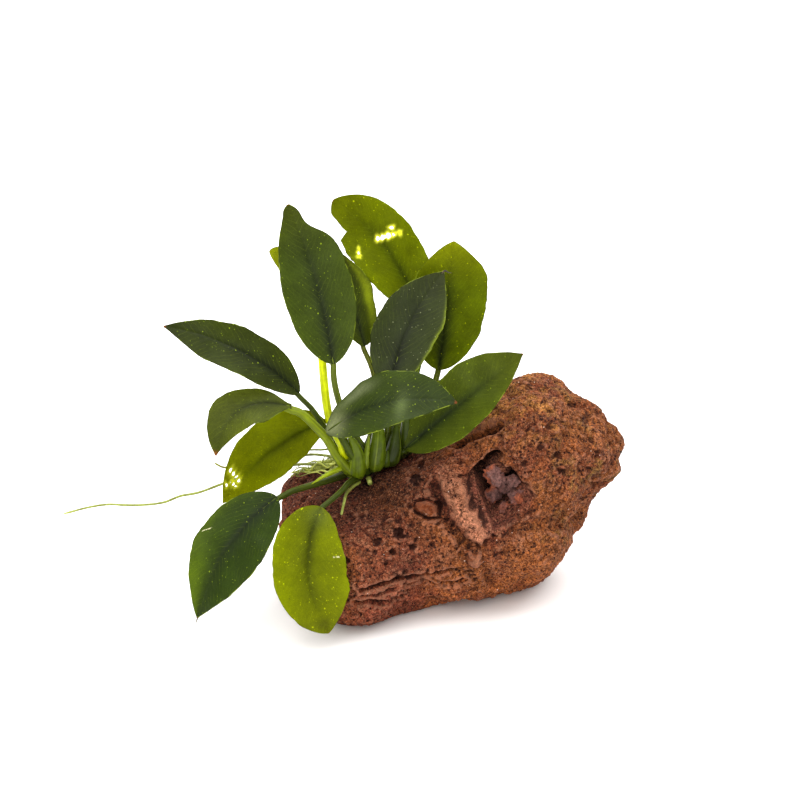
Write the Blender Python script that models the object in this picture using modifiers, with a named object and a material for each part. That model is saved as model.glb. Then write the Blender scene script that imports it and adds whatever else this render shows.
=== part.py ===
"""Anubias growing on a piece of red lava stone.

Thirteen leaves, each a blade on its own stalk, rise from one creeping rhizome. The rhizome lies
in a shallow groove on the stone's left shelf and sends out stiff, wiry roots.

Blender units are metres. The tables below are in millimetres, and MM turns them into metres.
+X runs along the stone's long side, -Y is its front and +Z is up. The origin is on the ground,
in the middle of the stone's flat seat.
"""
import math
from dataclasses import dataclass

import bmesh
import bpy
from mathutils import Vector, noise

MM = 0.001
GAP = 0.3                      # clearance between neighbouring pieces
MERGE = 0.00001                # merge distance of every modifier that merges, in metres

# ---------------------------------------------------------------------------------------------
# Stone: oval sections across X, each one
# (x, front y, back y, lowest z, highest z, squareness)
# ---------------------------------------------------------------------------------------------
STONE_SECTIONS = (
    (-58, 4, 20, 16, 34, 2.2),
    (-53, -10, 32, 6, 41, 2.6),
    (-42, -31, 40, -3, 44, 3.2),
    (-28, -42, 46, -4, 47, 3.4),
    (-12, -39, 50, -4, 52, 3.0),
    (4, -34, 52, -4, 60, 2.6),
    (20, -32, 50, -3, 72, 2.5),
    (34, -29, 46, -1, 83, 2.4),
    (48, -23, 42, 4, 81, 2.5),
    (57, -17, 36, 20, 74, 2.5),
    (68, -10, 28, 36, 66, 2.4),
    (75, 2, 18, 47, 60, 2.2),
)
STONE_RINGS = 36
STONE_SIDES = 32

# Broad lumps and hollows: (x, y, z of the middle, reach, how far the surface moves out)
STONE_LUMPS = (
    (-24, -42, 22, 17, 4.0),      # lower left block
    (2, -34, 0, 14, -9.0),        # undercut in the middle of the front
    (-2, -38, 42, 9, -5.0),       # recess between the block and the ridge above it
    (10, -34, 56, 9, -3.5),       # dark recess under the crest
    (46, -22, 26, 12, 3.0),       # lower right foot
    (40, -24, 2, 12, -5.0),       # undercut of that foot
    (64, -14, 62, 12, 3.0),       # right shoulder
    (64, -5, 35, 12, -8.0),       # undercut of the right shoulder
    (50, 4, 84, 9, -2.0),         # step behind the peak
    (-8, 46, 40, 18, 5.0),        # lump on the back
    (36, 44, 30, 16, -6.0),       # hollow low on the back
    (20, 40, 64, 15, 4.0),        # shoulder on the back
    (-44, 30, 22, 12, 4.0),       # lump at the back left
)
STONE_ROUGHNESS = ((34, 3.2), (15, 1.9), (7, 0.7))      # (size, height) of each noise layer
STONE_VOXEL = 2.6
GROUND_BLOCK = 0.4             # side of the cube that cuts the flat seat, in metres
STONE_TRIANGLES = 2900

# The cavity in the stone's front: an irregular, four-cornered pocket
CAVITY_MOUTH = ((25, 73), (14, 60), (25, 38), (41, 49))  # (x, z) of its corners
CAVITY_FRONT_Y = -46           # clear in front of the stone
CAVITY_MOUTH_Y = -26
CAVITY_FLOOR_Y = -15
CAVITY_FLARE = 1.15            # size in front of the stone, as a share of the mouth's
CAVITY_TAPER = 0.62            # size at the floor, as a share of the mouth's
NODULE_SCALE = (1.0, 1.5, 0.9)
# Rounded stones left standing inside it: (x, y, z, radius)
NODULES = (
    (27, -19, 58, 5.2),
    (35, -20, 51, 4.6),
    (33.5, -21, 58.5, 2.6),
)

# ---------------------------------------------------------------------------------------------
# Rhizome and roots
# ---------------------------------------------------------------------------------------------
RHIZOME_ROUTE = ((-32, -8, 52), (-26, -4, 52), (-19, 1, 53), (-11, 6, 55.5), (-3, 11, 59))
RHIZOME_RADIUS = 3.1
RHIZOME_NODES = 11             # rings of leaf scars along it
RHIZOME_NODE_SWELL = 0.09

# name: (radius at the start, radius at the end, route)
ROOTS = {
    "root_long": (0.45, 0.28, (
        (-34, 0, 50), (-42, 10, 48.5), (-56, 15, 46), (-68, 13, 44), (-79, 10, 41), (-90, 8, 37.5),
        (-97, 7, 36.4), (-104, 6, 34), (-112, 6, 33), (-119, 5, 33.4), (-126, 5, 33.6),
        (-134, 4, 32.6), (-143, 4, 30))),
    "root_left": (0.55, 0.35, (
        (-31, 2, 53), (-37, 8, 52.5), (-45, 13, 51.5), (-53, 17, 49), (-62, 17.5, 47.5),
        (-70, 15, 46.5), (-76, 13, 47.3), (-80, 12.3, 46.3), (-84, 12, 48.3))),
    "root_back": (0.5, 0.35, (
        (-24, 5, 54), (-32, 13, 54.5), (-41, 17, 52), (-50, 21, 50), (-56, 24, 46))),
    "root_front": (0.6, 0.35, (
        (-24.8, -14, 51.2), (-26.6, -19, 51.4), (-29.4, -25.5, 50.6), (-32.4, -33, 47.5))),
    "root_stub": (0.7, 0.55, (
        (-23, -9, 50.6), (-22.4, -12, 49.8), (-22.6, -14.5, 51.5))),
}

# ---------------------------------------------------------------------------------------------
# Leaves
# ---------------------------------------------------------------------------------------------
BLADE_THICKNESS = 0.5
BLADE_ROWS = 11
BLADE_COLUMNS = 4
BLADE_BASE_WIDTH = 2.0
BLADE_TIP_WIDTH = 0.7
RIPPLES = 2                    # waves along each margin
RIPPLE_HEIGHT = 0.5
LEFT_RIPPLE_SHIFT = 2.0        # radians between the two margins' waves
HOLE_SIDES = 8
HOLE_DEPTH = 3.0
BASE_CURVE = 2.2               # how squarely the margin leaves the stalk
STALK_POINTS = 9
STALK_END_GAP = 1.0            # from the stalk's end to the blade's base
STALK_SWELL_REACH = 0.13       # share of the stalk's length that the sheathing base takes


@dataclass(frozen=True)
class Leaf:
    """One leaf: its stalk's root on the rhizome and its blade, in millimetres and degrees.

    Left and right are as seen on the upper face with the tip up.
    """
    base: tuple                # where the blade meets its stalk
    tip: tuple
    facing: tuple              # the direction that the blade's upper face looks in
    halves: tuple              # greatest width of the left half and of the right half
    root: float                # place along the rhizome, from 0 to 1
    leaving: tuple             # direction in which the stalk leaves the rhizome
    widest: float = 0.46       # place of the greatest width, as a share of the length
    skew: float = 0.0          # how much further out the left half is widest than the right
    base_round: float = 0.6    # below 0.5 is blunt, above 0.7 is a wedge
    tip_taper: float = 1.9     # above 2 is blunt, below 1.6 is drawn out
    bow: float = 0.0           # rise of the midrib's middle towards the facing side
    sway: float = 0.0          # sideways curve of the midrib, to the right
    cup: float = 0.12          # rise of the margins, as a share of the half width
    stalk: float = 1.2         # radius of the stalk
    swell: float = 0.8         # extra radius of the sheathing base, as a share of the stalk's
    bend: tuple = (0, 0, 0)    # shift of the stalk's middle from its plain route
    nicks: tuple = ()          # bites of the margin: (side, place, depth, reach); side 1 is right
    holes: tuple = ()          # eaten through: (place, across, half length along, half width across)


LEAVES = (
    Leaf(base=(-36, -6, 95.6), tip=(-52.7, 10, 153), facing=(0.15, -0.95, 0.25),
         halves=(13.4, 13.0), sway=2.0, widest=0.46, stalk=1.35, swell=0.8, bend=(-5, 0, 0),
         root=0.31, leaving=(0.4, -0.7, 0.7), nicks=((1, 0.80, 2.9, 0.07), (-1, 0.9, -1.1, 0.06))),
    Leaf(base=(-4, 18, 108.5), tip=(-36.8, 34, 148.7), facing=(0.3, -0.85, 0.45),
         halves=(14.5, 13.0), sway=5.4, widest=0.52, tip_taper=2.8, stalk=1.2, swell=0.6,
         bend=(4, 0, 0), root=0.76, leaving=(-0.3, 0.6, 0.9),
         nicks=((-1, 0.80, 5.5, 0.045), (-1, 0.97, -3.0, 0.06)),
         holes=((0.575, 0.2, 1.3, 3.4), (0.6, -0.7, 0.9, 1.4))),
    Leaf(base=(-14.4, -2, 84.6), tip=(5.8, 16, 125.4), facing=(-0.1, -0.9, 0.45),
         halves=(12.6, 12.2), sway=-3.5, widest=0.52, skew=-0.05, stalk=1.2, swell=0.6,
         root=0.56, leaving=(0.2, -0.5, 0.9)),
    Leaf(base=(4, 12, 87), tip=(9.7, 24, 135), facing=(0.1, -0.95, 0.25),
         halves=(14, 15.2), widest=0.55, tip_taper=2.1, stalk=1.35, swell=0.5,
         root=0.96, leaving=(0.3, 0.3, 0.9), nicks=((1, 0.8, -1.6, 0.1),)),
    Leaf(base=(-38.5, -22, 74.4), tip=(9.7, -32, 89.5), facing=(-0.2, -0.55, 0.83),
         halves=(12.6, 13.2), bow=5, sway=-3.5, widest=0.5, skew=0.08, base_round=0.72,
         stalk=1.2, swell=0.3, root=0.17, leaving=(0.5, -0.8, 0.5)),
    Leaf(base=(-8.7, -5, 61.3), tip=(34.6, -12, 101.6), facing=(-0.45, -0.8, 0.4),
         halves=(12.5, 11.5), widest=0.52, skew=0.06, tip_taper=2.1, stalk=1.1, swell=0.6,
         root=0.7, leaving=(0.5, -0.8, 0.2)),
    Leaf(base=(-24.4, 7, 98.4), tip=(-35, 16, 133.1), facing=(0.6, -0.75, 0.3),
         halves=(9, 9), widest=0.48, tip_taper=2.1, cup=0.3, stalk=1.1, swell=0.6,
         bend=(4, 0, 0), root=0.47, leaving=(-0.2, 0.7, 0.7)),
    Leaf(base=(-49, -8, 84.7), tip=(-97.5, -18, 114.2), facing=(0.3, -0.65, 0.7),
         halves=(10.8, 9.8), bow=3, sway=3.4, widest=0.5, skew=0.08, stalk=1.1, swell=0.5,
         root=0.11, leaving=(-0.4, 0.9, 0.4), nicks=((1, 0.63, 0.9, 0.08),)),
    Leaf(base=(-51.5, -15.5, 82.1), tip=(-79, -29, 67.7), facing=(-0.4, -0.7, 0.6),
         halves=(10, 9), bow=7, sway=6.5, widest=0.5, skew=-0.12, base_round=0.85,
         stalk=1.6, swell=0.6, bend=(-4, -1, -3),
         root=0.06, leaving=(-0.4, -0.35, 0.8)),
    Leaf(base=(-39.7, 0, 70.4), tip=(-79.5, -3, 37.7), facing=(0.4, -0.8, 0.4),
         halves=(9.8, 12.5), bow=1, sway=4, widest=0.46, skew=0.06, stalk=1.2, swell=0.5,
         root=0.25, leaving=(-0.6, 0.8, 0.0),
         holes=((0.78, 0.62, 1.0, 0.8), (0.8, 0.15, 1.1, 0.9), (0.81, -0.3, 0.9, 0.7))),
    Leaf(base=(-57, -26, 50), tip=(-86.6, -42, 7.7), facing=(-0.4, -0.7, 0.6),
         halves=(16.4, 13.6), bow=5, sway=2.6, widest=0.46, tip_taper=2.0, stalk=1.2, swell=0.4,
         bend=(0, 0, -2), root=0.0, leaving=(-0.8, -0.5, 0.0)),
    Leaf(base=(-40, -38, 51), tip=(-37, -55, 8.1), facing=(0.0, -0.92, 0.38),
         halves=(14.6, 13.0), sway=6.3, widest=0.5, skew=0.08, base_round=0.55, tip_taper=2.6,
         stalk=1.1, swell=0.5, bend=(1.5, 0, -0.5), root=0.06, leaving=(0.5, -0.9, -0.1)),
    Leaf(base=(-41.5, 8, 105), tip=(-60.7, 19, 132.7), facing=(0.2, -0.9, 0.35),
         halves=(6, 8), sway=5, widest=0.5, cup=0.3, stalk=1.5, swell=0.35,
         bend=(-8, 7, 0), root=0.36, leaving=(-0.4, 0.4, 0.85)),
)


# ---------------------------------------------------------------------------------------------
# Small helpers
# ---------------------------------------------------------------------------------------------
def clear_scene():
    for obj in list(bpy.data.objects):
        bpy.data.objects.remove(obj, do_unlink=True)


def new_collection(name):
    collection = bpy.data.collections.new(name)
    bpy.context.scene.collection.children.link(collection)
    return collection


def new_material(name, colour, roughness):
    material = bpy.data.materials.new(name)
    material.use_nodes = True
    shader = material.node_tree.nodes["Principled BSDF"]
    shader.inputs["Base Color"].default_value = (*colour, 1.0)
    shader.inputs["Roughness"].default_value = roughness
    shader.inputs["Metallic"].default_value = 0.0
    return material


def add_object(name, data, collection, material=None):
    obj = bpy.data.objects.new(name, data)
    collection.objects.link(obj)
    if material:
        data.materials.append(material)
    return obj


def move_to(obj, collection):
    for owner in list(obj.users_collection):
        owner.objects.unlink(obj)
    collection.objects.link(obj)


def as_cutter(obj):
    obj.hide_render = True
    obj.display_type = "WIRE"
    return obj


def evaluated_mesh(obj):
    """The object's mesh with its modifiers, as a new mesh with loose caps welded."""
    bpy.context.view_layer.update()
    depsgraph = bpy.context.evaluated_depsgraph_get()
    mesh = bpy.data.meshes.new_from_object(obj.evaluated_get(depsgraph))
    work = bmesh.new()
    work.from_mesh(mesh)
    bmesh.ops.remove_doubles(work, verts=work.verts, dist=MERGE)
    work.to_mesh(mesh)
    work.free()
    return mesh


def smooth_route(points, count):
    """Points spaced along the Catmull-Rom curve that passes through the route's own points."""
    knots = [Vector(p) for p in points]
    knots = [knots[0] * 2 - knots[1], *knots, knots[-1] * 2 - knots[-2]]
    spans = len(knots) - 3
    route = []
    for i in range(count):
        place = spans * i / (count - 1)
        span = min(int(place), spans - 1)
        t = place - span
        a, b, c, d = knots[span:span + 4]
        route.append(0.5 * (2 * b + (c - a) * t + (2 * a - 5 * b + 4 * c - d) * t ** 2
                            + (3 * b - a - 3 * c + d) * t ** 3))
    return route


def bezier_route(start, start_pull, end_pull, end, count):
    route = []
    for i in range(count):
        t = i / (count - 1)
        s = 1 - t
        route.append(s ** 3 * start + 3 * s * s * t * start_pull
                     + 3 * s * t * t * end_pull + t ** 3 * end)
    return route


def tube_curve(name, route, radii, sides_level=2):
    """A POLY curve through the route, in millimetres, bevelled to the radius of each point."""
    curve = bpy.data.curves.new(name, "CURVE")
    curve.dimensions = "3D"
    curve.bevel_depth = MM
    curve.bevel_resolution = sides_level
    curve.use_fill_caps = True
    spline = curve.splines.new("POLY")
    spline.points.add(len(route) - 1)
    for point, place, radius in zip(spline.points, route, radii):
        point.co = (*(place * MM), 1.0)
        point.radius = radius
    return curve


# ---------------------------------------------------------------------------------------------
# Stone
# ---------------------------------------------------------------------------------------------
def section_at(place):
    """The stone's section at a place from 0 to 1 along it, read from a smooth curve."""
    count = len(STONE_SECTIONS)
    spans = count - 1
    span = min(int(place * spans), spans - 1)
    t = place * spans - span
    rows = [STONE_SECTIONS[min(max(span + k, 0), count - 1)] for k in (-1, 0, 1, 2)]
    return [0.5 * (2 * b + (c - a) * t + (2 * a - 5 * b + 4 * c - d) * t * t
                   + (3 * b - a - 3 * c + d) * t ** 3) for a, b, c, d in zip(*rows)]


def signed_power(value, exponent):
    return math.copysign(abs(value) ** exponent, value)


def stone_loft():
    """The stone's plain body: a closed loft through its sections."""
    body = bmesh.new()
    rings = []
    for i in range(STONE_RINGS):
        x, front, back, low, high, squareness = section_at(i / (STONE_RINGS - 1))
        ring = []
        for k in range(STONE_SIDES):
            angle = 2 * math.pi * k / STONE_SIDES
            y = (front + back) / 2 + (back - front) / 2 * signed_power(math.cos(angle), 2 / squareness)
            z = (low + high) / 2 + (high - low) / 2 * signed_power(math.sin(angle), 2 / squareness)
            ring.append(body.verts.new(Vector((x, y, z)) * MM))
        rings.append(ring)
    for ring, following in zip(rings, rings[1:]):
        for k in range(STONE_SIDES):
            j = (k + 1) % STONE_SIDES
            body.faces.new((ring[k], ring[j], following[j], following[k]))
    body.faces.new(list(reversed(rings[0])))
    body.faces.new(rings[-1])
    bmesh.ops.recalc_face_normals(body, faces=body.faces)
    mesh = bpy.data.meshes.new("stone")
    body.to_mesh(mesh)
    body.free()
    return mesh


def stone_relief(place):
    """How far the surface moves out at a place, in millimetres."""
    move = 0.0
    for x, y, z, reach, height in STONE_LUMPS:
        distance = (place - Vector((x, y, z))).length
        move += height * math.exp(-(distance / reach) ** 2)
    for size, height in STONE_ROUGHNESS:
        move += height * noise.noise(place / size + Vector((3.7, 1.3, size)))
    cells = noise.voronoi(place / 17.0)[0]
    move += 4.5 * (min(cells[1] - cells[0], 0.35) - 0.2)
    return move


def roughen(mesh):
    moved = [v.co + v.normal * stone_relief(v.co / MM) * MM for v in mesh.vertices]
    for vertex, place in zip(mesh.vertices, moved):
        vertex.co = place


def cavity_cutter(collection):
    """A pocket that narrows from its mouth to its floor, open to the stone's front."""
    middle = sum((Vector((x, 0, z)) for x, z in CAVITY_MOUTH), Vector()) / len(CAVITY_MOUTH)
    pocket = bmesh.new()
    for y, share in ((CAVITY_FRONT_Y, CAVITY_FLARE), (CAVITY_MOUTH_Y, 1), (CAVITY_FLOOR_Y, CAVITY_TAPER)):
        for x, z in CAVITY_MOUTH:
            corner = middle + (Vector((x, 0, z)) - middle) * share
            pocket.verts.new(Vector((corner.x, y, corner.z)) * MM)
    bmesh.ops.convex_hull(pocket, input=pocket.verts)
    mesh = bpy.data.meshes.new("cavity_cutter")
    pocket.to_mesh(mesh)
    pocket.free()
    return as_cutter(add_object("cavity_cutter", mesh, collection))


def nodule_keepers(collection):
    """The rounded stones in the cavity, joined to its floor."""
    keepers = []
    for i, (x, y, z, radius) in enumerate(NODULES, 1):
        bpy.ops.mesh.primitive_ico_sphere_add(subdivisions=2, radius=radius * MM,
                                              location=(x * MM, y * MM, z * MM))
        keeper = bpy.context.object
        keeper.name = f"nodule_{i}"
        move_to(keeper, collection)
        keeper.scale = NODULE_SCALE
        keepers.append(as_cutter(keeper))
    return keepers


def ground_cutter(collection):
    bpy.ops.mesh.primitive_cube_add(size=GROUND_BLOCK, location=(0, 0, -GROUND_BLOCK / 2))
    cutter = bpy.context.object
    cutter.name = "ground_cutter"
    move_to(cutter, collection)
    return as_cutter(cutter)


def boolean(obj, cutter, operation):
    modifier = obj.modifiers.new(cutter.name, "BOOLEAN")
    modifier.operation = operation
    modifier.object = cutter


def make_stone(parts, cutters, rhizome_route):
    rough = add_object("stone_rough", stone_loft(), cutters)
    remesh = rough.modifiers.new("even_faces", "REMESH")
    remesh.mode = "VOXEL"
    remesh.voxel_size = STONE_VOXEL * MM
    mesh = evaluated_mesh(rough)
    bpy.data.objects.remove(rough)
    roughen(mesh)
    stone = add_object("stone", mesh, parts, new_material("lava_stone", (0.22, 0.08, 0.045), 0.95))
    thin_out = stone.modifiers.new("fewer_faces", "DECIMATE")
    mesh.calc_loop_triangles()
    thin_out.ratio = STONE_TRIANGLES / len(mesh.loop_triangles)
    boolean(stone, cavity_cutter(cutters), "DIFFERENCE")
    for keeper in nodule_keepers(cutters):
        boolean(stone, keeper, "UNION")
    boolean(stone, ground_cutter(cutters), "DIFFERENCE")
    beyond = (2 * rhizome_route[0] - rhizome_route[1], 2 * rhizome_route[-1] - rhizome_route[-2])
    groove_route = [beyond[0], *rhizome_route, beyond[1]]
    groove_radii = [RHIZOME_RADIUS * (1 + RHIZOME_NODE_SWELL) + GAP] * len(groove_route)
    groove = add_object("groove_curve", tube_curve("groove_curve", groove_route, groove_radii), cutters)
    groove_mesh = evaluated_mesh(groove)
    bpy.data.objects.remove(groove)
    boolean(stone, as_cutter(add_object("groove_cutter", groove_mesh, cutters)), "DIFFERENCE")
    return stone


# ---------------------------------------------------------------------------------------------
# Rhizome and roots
# ---------------------------------------------------------------------------------------------
def rhizome_place(share):
    """The middle of the rhizome and its direction at a share of its length."""
    route = smooth_route(RHIZOME_ROUTE, 41)
    index = min(int(share * 40), 39)
    here = route[index].lerp(route[index + 1], share * 40 - index)
    return here, (route[index + 1] - route[index]).normalized()


def make_rhizome(parts, green):
    count = 2 * RHIZOME_NODES + 1
    route = smooth_route(RHIZOME_ROUTE, count)
    radii = [RHIZOME_RADIUS * (1 + RHIZOME_NODE_SWELL * (-1) ** i) for i in range(count)]
    radii[0] = radii[-1] = RHIZOME_RADIUS * 0.55
    add_object("rhizome", tube_curve("rhizome", route, radii), parts, green)
    return route


def make_roots(parts, material):
    for name, (start, end, places) in ROOTS.items():
        count = 3 * len(places) - 2
        route = smooth_route(places, count)
        radii = [start + (end - start) * i / (count - 1) for i in range(count)]
        add_object(name, tube_curve(name, route, radii, sides_level=1), parts, material)


# ---------------------------------------------------------------------------------------------
# Leaves
# ---------------------------------------------------------------------------------------------
def half_width(leaf, side, place):
    """The blade's half width at a place from 0 at its base to 1 at its tip."""
    widest = leaf.widest - side * leaf.skew
    if place < widest:
        shape = (1 - (1 - place / widest) ** BASE_CURVE) ** leaf.base_round
    else:
        shape = 1 - ((place - widest) / (1 - widest)) ** leaf.tip_taper
    width = leaf.halves[0 if side < 0 else 1] * shape
    for nick_side, nick_place, depth, reach in leaf.nicks:
        if nick_side == side:
            width -= depth * math.exp(-((place - nick_place) / reach) ** 2)
    end_width = BLADE_BASE_WIDTH + (BLADE_TIP_WIDTH - BLADE_BASE_WIDTH) * place
    return math.hypot(max(width, 0.0), end_width / 2)


def blade_point(leaf, place, across):
    """A point of the blade's middle surface: place runs from base to tip, across from -1 to 1."""
    base, tip = Vector(leaf.base), Vector(leaf.tip)
    length = (tip - base).length
    along = (tip - base) / length
    up = Vector(leaf.facing)
    up = (up - up.project(along)).normalized()
    sideways = along.cross(up)
    arch = 4 * place * (1 - place)
    slope = 4 * (1 - 2 * place)
    middle = base.lerp(tip, place) + up * leaf.bow * arch + sideways * leaf.sway * arch
    heading = (along * length + up * leaf.bow * slope + sideways * leaf.sway * slope).normalized()
    up = (up - up.project(heading)).normalized()
    sideways = heading.cross(up)
    side = 1 if across > 0 else -1
    width = half_width(leaf, side, place)
    phase = 2 * math.pi * RIPPLES * place + (0 if side > 0 else LEFT_RIPPLE_SHIFT)
    wave = RIPPLE_HEIGHT * across ** 2 * math.sin(phase) * arch
    return middle + sideways * across * width + up * (leaf.cup * width * across ** 2 + wave)


def hole_cutter(name, leaf, hole, collection):
    """An oval prism that stands square through the blade."""
    place, across, half_length, half_width_across = hole
    middle = blade_point(leaf, place, across)
    along = (blade_point(leaf, place + 0.02, across) - middle).normalized()
    square = along.cross(blade_point(leaf, place, across + 0.05) - middle).normalized()
    sideways = square.cross(along)
    bpy.ops.mesh.primitive_cylinder_add(vertices=HOLE_SIDES, radius=1, depth=HOLE_DEPTH)
    cutter = bpy.context.object
    cutter.name = name
    move_to(cutter, collection)
    for vertex in cutter.data.vertices:
        x, y, z = vertex.co
        vertex.co = (middle + along * x * half_length + sideways * y * half_width_across + square * z) * MM
    return as_cutter(cutter)


def make_blade(number, leaf, parts, cutters, material):
    name = f"leaf_blade_{number:02d}"
    bpy.ops.mesh.primitive_grid_add(x_subdivisions=BLADE_COLUMNS, y_subdivisions=BLADE_ROWS, size=2)
    blade = bpy.context.object
    blade.name = blade.data.name = name
    move_to(blade, parts)
    blade.data.materials.append(material)
    for vertex in blade.data.vertices:
        place = (1 - math.cos(math.pi * (vertex.co.y + 1) / 2)) / 2
        vertex.co = blade_point(leaf, place, vertex.co.x) * MM
    skin = blade.modifiers.new("thickness", "SOLIDIFY")
    skin.thickness = BLADE_THICKNESS * MM
    skin.offset = 0.0
    for i, hole in enumerate(leaf.holes, 1):
        boolean(blade, hole_cutter(f"hole_{number:02d}_{i}", leaf, hole, cutters), "DIFFERENCE")


def stalk_route(leaf):
    """From just clear of the rhizome to just clear of the blade's base."""
    middle, axis = rhizome_place(leaf.root)
    leaving = Vector(leaf.leaving).normalized()
    base, bend = Vector(leaf.base), Vector(leaf.bend)
    reach = (base - middle).length
    start_pull = leaving * reach * 0.22 + bend
    if leaf.root > 0:
        square = (leaving - leaving.project(axis)).normalized()
        tilt = abs(start_pull.normalized().dot(axis))
        end_radius = leaf.stalk * (1 + leaf.swell)
        start = middle + square * (RHIZOME_RADIUS * (1 + RHIZOME_NODE_SWELL) + GAP + tilt * end_radius)
    else:
        start = middle + leaving * 2 * GAP
    straight = (base - start).normalized()
    arrival = ((blade_point(leaf, 0.05, 0) - base).normalized() + straight * 0.8).normalized()
    end = base - arrival * STALK_END_GAP
    return bezier_route(start, start + start_pull, end - arrival * reach * 0.35 + bend, end, STALK_POINTS)


def make_stalk(number, leaf, parts, material):
    route = stalk_route(leaf)
    radii = []
    for i in range(STALK_POINTS):
        place = i / (STALK_POINTS - 1)
        swelling = leaf.swell * math.exp(-(place / STALK_SWELL_REACH) ** 2)
        radii.append(leaf.stalk * (1 + swelling - 0.15 * place))
    name = f"leaf_stalk_{number:02d}"
    add_object(name, tube_curve(name, route, radii), parts, material)


def make_leaves(parts, cutters):
    for number, leaf in enumerate(LEAVES, 1):
        make_blade(number, leaf, parts, cutters, new_material("leaf_green", (0.045, 0.11, 0.012), 0.4))
        make_stalk(number, leaf, parts, new_material("stalk_green", (0.2, 0.32, 0.03), 0.45))


def main():
    clear_scene()
    parts = new_collection("anubias_on_stone")
    cutters = new_collection("cutters")
    route = make_rhizome(parts, new_material("rhizome_green", (0.06, 0.1, 0.02), 0.6))
    make_stone(parts, cutters, route)
    make_roots(parts, new_material("root_green", (0.35, 0.45, 0.12), 0.6))
    make_leaves(parts, cutters)


main()
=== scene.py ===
"""Anubias on a lava stone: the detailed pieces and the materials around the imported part.

The tables are in millimetres, in the part's own frame: +X along the stone's long side,
-Y its front, +Z up. MM turns them into metres.
"""
import math
from dataclasses import dataclass

import bmesh
import bpy
import numpy as np
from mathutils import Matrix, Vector, noise
from mathutils.bvhtree import BVHTree
from mathutils.kdtree import KDTree


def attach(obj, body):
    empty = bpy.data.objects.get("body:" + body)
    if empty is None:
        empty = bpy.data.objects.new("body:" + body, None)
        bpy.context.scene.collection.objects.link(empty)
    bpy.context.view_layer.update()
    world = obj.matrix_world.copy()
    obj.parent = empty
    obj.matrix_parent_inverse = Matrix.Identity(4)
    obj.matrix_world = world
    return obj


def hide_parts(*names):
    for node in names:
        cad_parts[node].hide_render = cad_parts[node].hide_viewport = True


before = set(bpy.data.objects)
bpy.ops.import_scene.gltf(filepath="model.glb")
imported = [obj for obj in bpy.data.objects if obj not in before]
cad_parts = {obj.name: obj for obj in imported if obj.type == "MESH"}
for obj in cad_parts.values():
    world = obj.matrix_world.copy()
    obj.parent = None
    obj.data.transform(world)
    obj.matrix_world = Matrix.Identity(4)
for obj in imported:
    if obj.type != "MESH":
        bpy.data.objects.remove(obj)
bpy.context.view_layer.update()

MM = 0.001
SEED = 20

# ---- Leaves ----
BASE_CURVE = 2.2
BASE_WIDTH = 2.0
TIP_WIDTH = 0.7
RIPPLES = 2
RIPPLE_HEIGHT = 0.5
LEFT_RIPPLE_SHIFT = 2.0
THICKNESS = 0.5
BLADE_ROWS = 110
BLADE_COLUMNS = 52
BROAD_VEINS = 2.7      # distances between veins
FINE_VEINS = 0.95
VEIN_SLANT = 0.95      # the side veins run forwards, more so towards the margin
VEIN_CURVE = 0.05
QUILT = 3.3            # length of the swellings between the side veins
GROOVE_HALF = 0.55     # the midrib: a groove on top and a ridge below, half widths and depths
GROOVE_DEPTH = 0.38
RIDGE_HALF = 0.8
RIDGE_DEPTH = 0.5
STALK_ROWS = 44
RIB_REACH = 0.6        # how far the midrib stands out below the blade, as a share of its length
RIB_DEPTH = 0.22


@dataclass(frozen=True)
class Leaf:
    base: tuple
    tip: tuple
    facing: tuple
    halves: tuple
    root: float
    leaving: tuple
    widest: float = 0.46
    skew: float = 0.0
    base_round: float = 0.6
    tip_taper: float = 1.9
    bow: float = 0.0
    sway: float = 0.0
    cup: float = 0.12
    stalk: float = 1.2
    swell: float = 0.8
    bend: tuple = (0, 0, 0)
    nicks: tuple = ()
    holes: tuple = ()          # (place, across, half length along, half width across)
    body: tuple = (66, 80, 34)         # colour of the blade, 0 to 255
    # rib: painted shade along the midrib, which passes less light than the blade
    rib: tuple = (50, 62, 26)          # colour along the midrib
    end: tuple = (66, 78, 16)          # colour towards the tip
    stalk_colour: tuple = (104, 128, 30)
    glow: float = 0.3                  # share of light that comes through
    sheen: float = 0.08
    dots: float = 0.0                  # amount of dark dots
    specks: float = 0.4                # amount of light specks
    speck_colour: tuple = (128, 150, 24)
    brown: float = 0.0                 # size of the brown tip, in millimetres
    # patches: the fifth leaf's pale grey ones are painted sheen
    patches: tuple = ()        # (place, across, reach along, reach across, colour, strength)
    tip_round: float = 1.0             # below 1 the tip is blunter
    hole_glow: float = 0.85            # strength of the pale rims of the holes
    scratch: tuple = ()                # (place, across, half length, slant, thickness)
    steps: tuple = ()                  # (side, place, end place, depth): a torn step in the margin
    stem: tuple = ()                   # the stalk's own route, where it differs from the plain one
    foot: float = 2.4                  # radius of the swollen foot of the stalk, in millimetres
    shaft: float = 1.25                # radius of the stalk half way up
    # foot_shade_colour: painted shade at the crowded foot of the stalk
    foot_shade_colour: tuple = (40, 52, 6)
    foot_reach: float = 0.2


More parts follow.
